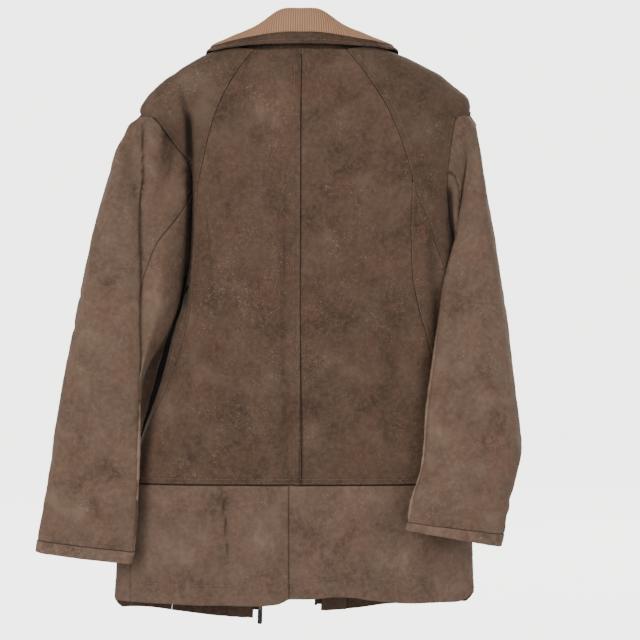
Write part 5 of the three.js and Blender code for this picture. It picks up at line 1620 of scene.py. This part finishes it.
# the wale profile given as the value that paints groove shade on the corduroy
wl = np.broadcast_to(wale[None, :], outer.shape[:2] if outer.shape[1] == NC else (len(cord_mid), NC))
settle(ob, m_cord, "corduroy", ("collar_corduroy",), wear_and_wale_shade=np.concatenate([wl.ravel(), wl.ravel()]))
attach(ob, "jacket_body")
for key, body, mat, slot in (("zip_retaining_box", "left_front", m_brass, "zip_metal"), ("zip_insert_pin", "right_front", m_brass, "zip_metal"),
                             ("zip_slider", "zip_slider", m_brass, "zip_metal"), ("zip_pull", "zip_pull", m_pull, "zip_pull")):
    settle(made[key], mat, slot, (key,))
    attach(made[key], body)
settle(slider_bridge, m_brass, "zip_metal")
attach(slider_bridge, "zip_slider")
settle(pull_rib, m_pull, "zip_pull")
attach(pull_rib, "zip_pull")

# stitch rows as meshes
from mathutils import kdtree
for key in list(STITCH):
    ob = stitch_mesh(key)
    co = settle(ob, m_thread, "leather_sleeve" if "sleeve" in key else "leather_body")
    if key == "thread_body":
        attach(ob, "jacket_body")
    elif key.startswith("thread_front_"):
        n = key.split("_")[-1]
        put_blend(ob)
    else:
        n = key.split("_")[-1]
        pts, ts_ = [], []
        for part in ("nubuck_sleeve_upper_", "nubuck_sleeve_under_"):
            o, _, T = SLEEVE_GRID[part + n]
            pts.append(o[:, ::3].reshape(-1, 3))
            ts_.append(T[:, ::3].ravel())
        pts, ts_ = np.concatenate(pts), np.concatenate(ts_)
        kd = kdtree.KDTree(len(pts))
        for i, p in enumerate(pts):
            kd.insert(p, i)
        kd.balance()
        cen = co.reshape(-1, 20, 3).mean(1)
        t = np.array([ts_[kd.find(c)[1]] for c in cen])
        put_blend(ob)

# ------------------------------------------------------------------ stage, light, camera
def bowl():
    prof = [(0.0, -1.02), (1.5, -1.02), (4.0, -1.02), (7.0, -1.02)]
    for i in range(1, 13):
        a = i / 12 * math.pi / 2
        prof.append((7.0 + 2.5 * math.sin(a), -1.02 + 2.5 * (1 - math.cos(a))))
    prof.append((9.5, 7.0))
    prof = np.array(prof)
    na = 96
    ang = np.linspace(0, 2 * math.pi, na, endpoint=False)
    V = [(0, 0, prof[0][1] * 1000)]
    for r, z in prof[1:]:
        for a in ang:
            V.append((r * 1000 * math.cos(a), r * 1000 * math.sin(a), z * 1000))
    F = [[0, 1 + i, 1 + (i + 1) % na] for i in range(na)]
    for q in range(len(prof) - 2):
        for i in range(na):
            j = (i + 1) % na
            F.append([1 + q * na + i, 1 + q * na + j, 1 + (q + 1) * na + j, 1 + (q + 1) * na + i][::-1])
    ob = to_mesh("pale_floor", np.array(V, float), F)
    return ob


floor = bowl()
fm = bpy.data.materials.new("pale_floor_mat")
fm.use_nodes = True
fb = fm.node_tree.nodes["Principled BSDF"]
fb.inputs["Base Color"].default_value = (0.86, 0.865, 0.85, 1)
fb.inputs["Roughness"].default_value = 0.9
fb.inputs["Specular IOR Level"].default_value = 0.1
fb.inputs["Emission Color"].default_value = (0.985, 1.0, 0.965, 1)
fb.inputs["Emission Strength"].default_value = 3.4
floor.data.materials.append(fm)
floor.visible_diffuse = False
floor.visible_glossy = False
floor.visible_shadow = False

world_ = bpy.data.worlds.new("studio")
bpy.context.scene.world = world_
world_.use_nodes = True
bgn = world_.node_tree.nodes["Background"]
bgn.inputs["Color"].default_value = (1.0, 0.995, 0.98, 1)
bgn.inputs["Strength"].default_value = 0.62


def area(name, loc, target, size, power, color=(1, 1, 1)):
    l = bpy.data.lights.new(name, "AREA")
    l.shape, l.size, l.energy, l.color = "DISK", size, power, color
    o = bpy.data.objects.new(name, l)
    bpy.context.collection.objects.link(o)
    o.location = loc
    o.rotation_euler = (Vector(target) - Vector(loc)).to_track_quat("-Z", "Y").to_euler()
    return o


area("key", (1.9, 2.7, 0.85), (0, 0, -0.45), 1.8, 55, (1, 0.985, 0.96))
area("fill", (-2.4, 2.2, 0.0), (0, 0, -0.5), 2.4, 19, (0.97, 0.985, 1))
area("front_key", (-1.8, -2.6, 1.4), (0, 0, -0.35), 1.8, 48, (1, 0.985, 0.96))
area("front_fill", (2.3, -2.2, 0.2), (0, 0, -0.4), 2.4, 16, (0.97, 0.985, 1))

cam = bpy.data.cameras.new("camera")
cam.sensor_width = 36
cam.lens = 36 * D / 928.0
cam.clip_end = 100
co_ = bpy.data.objects.new("camera", cam)
bpy.context.collection.objects.link(co_)
co_.location = (XC / 1000, D / 1000, ZC / 1000)
co_.rotation_euler = (math.pi / 2, 0, math.pi)
bpy.context.scene.camera = co_

bpy.context.view_layer.update()
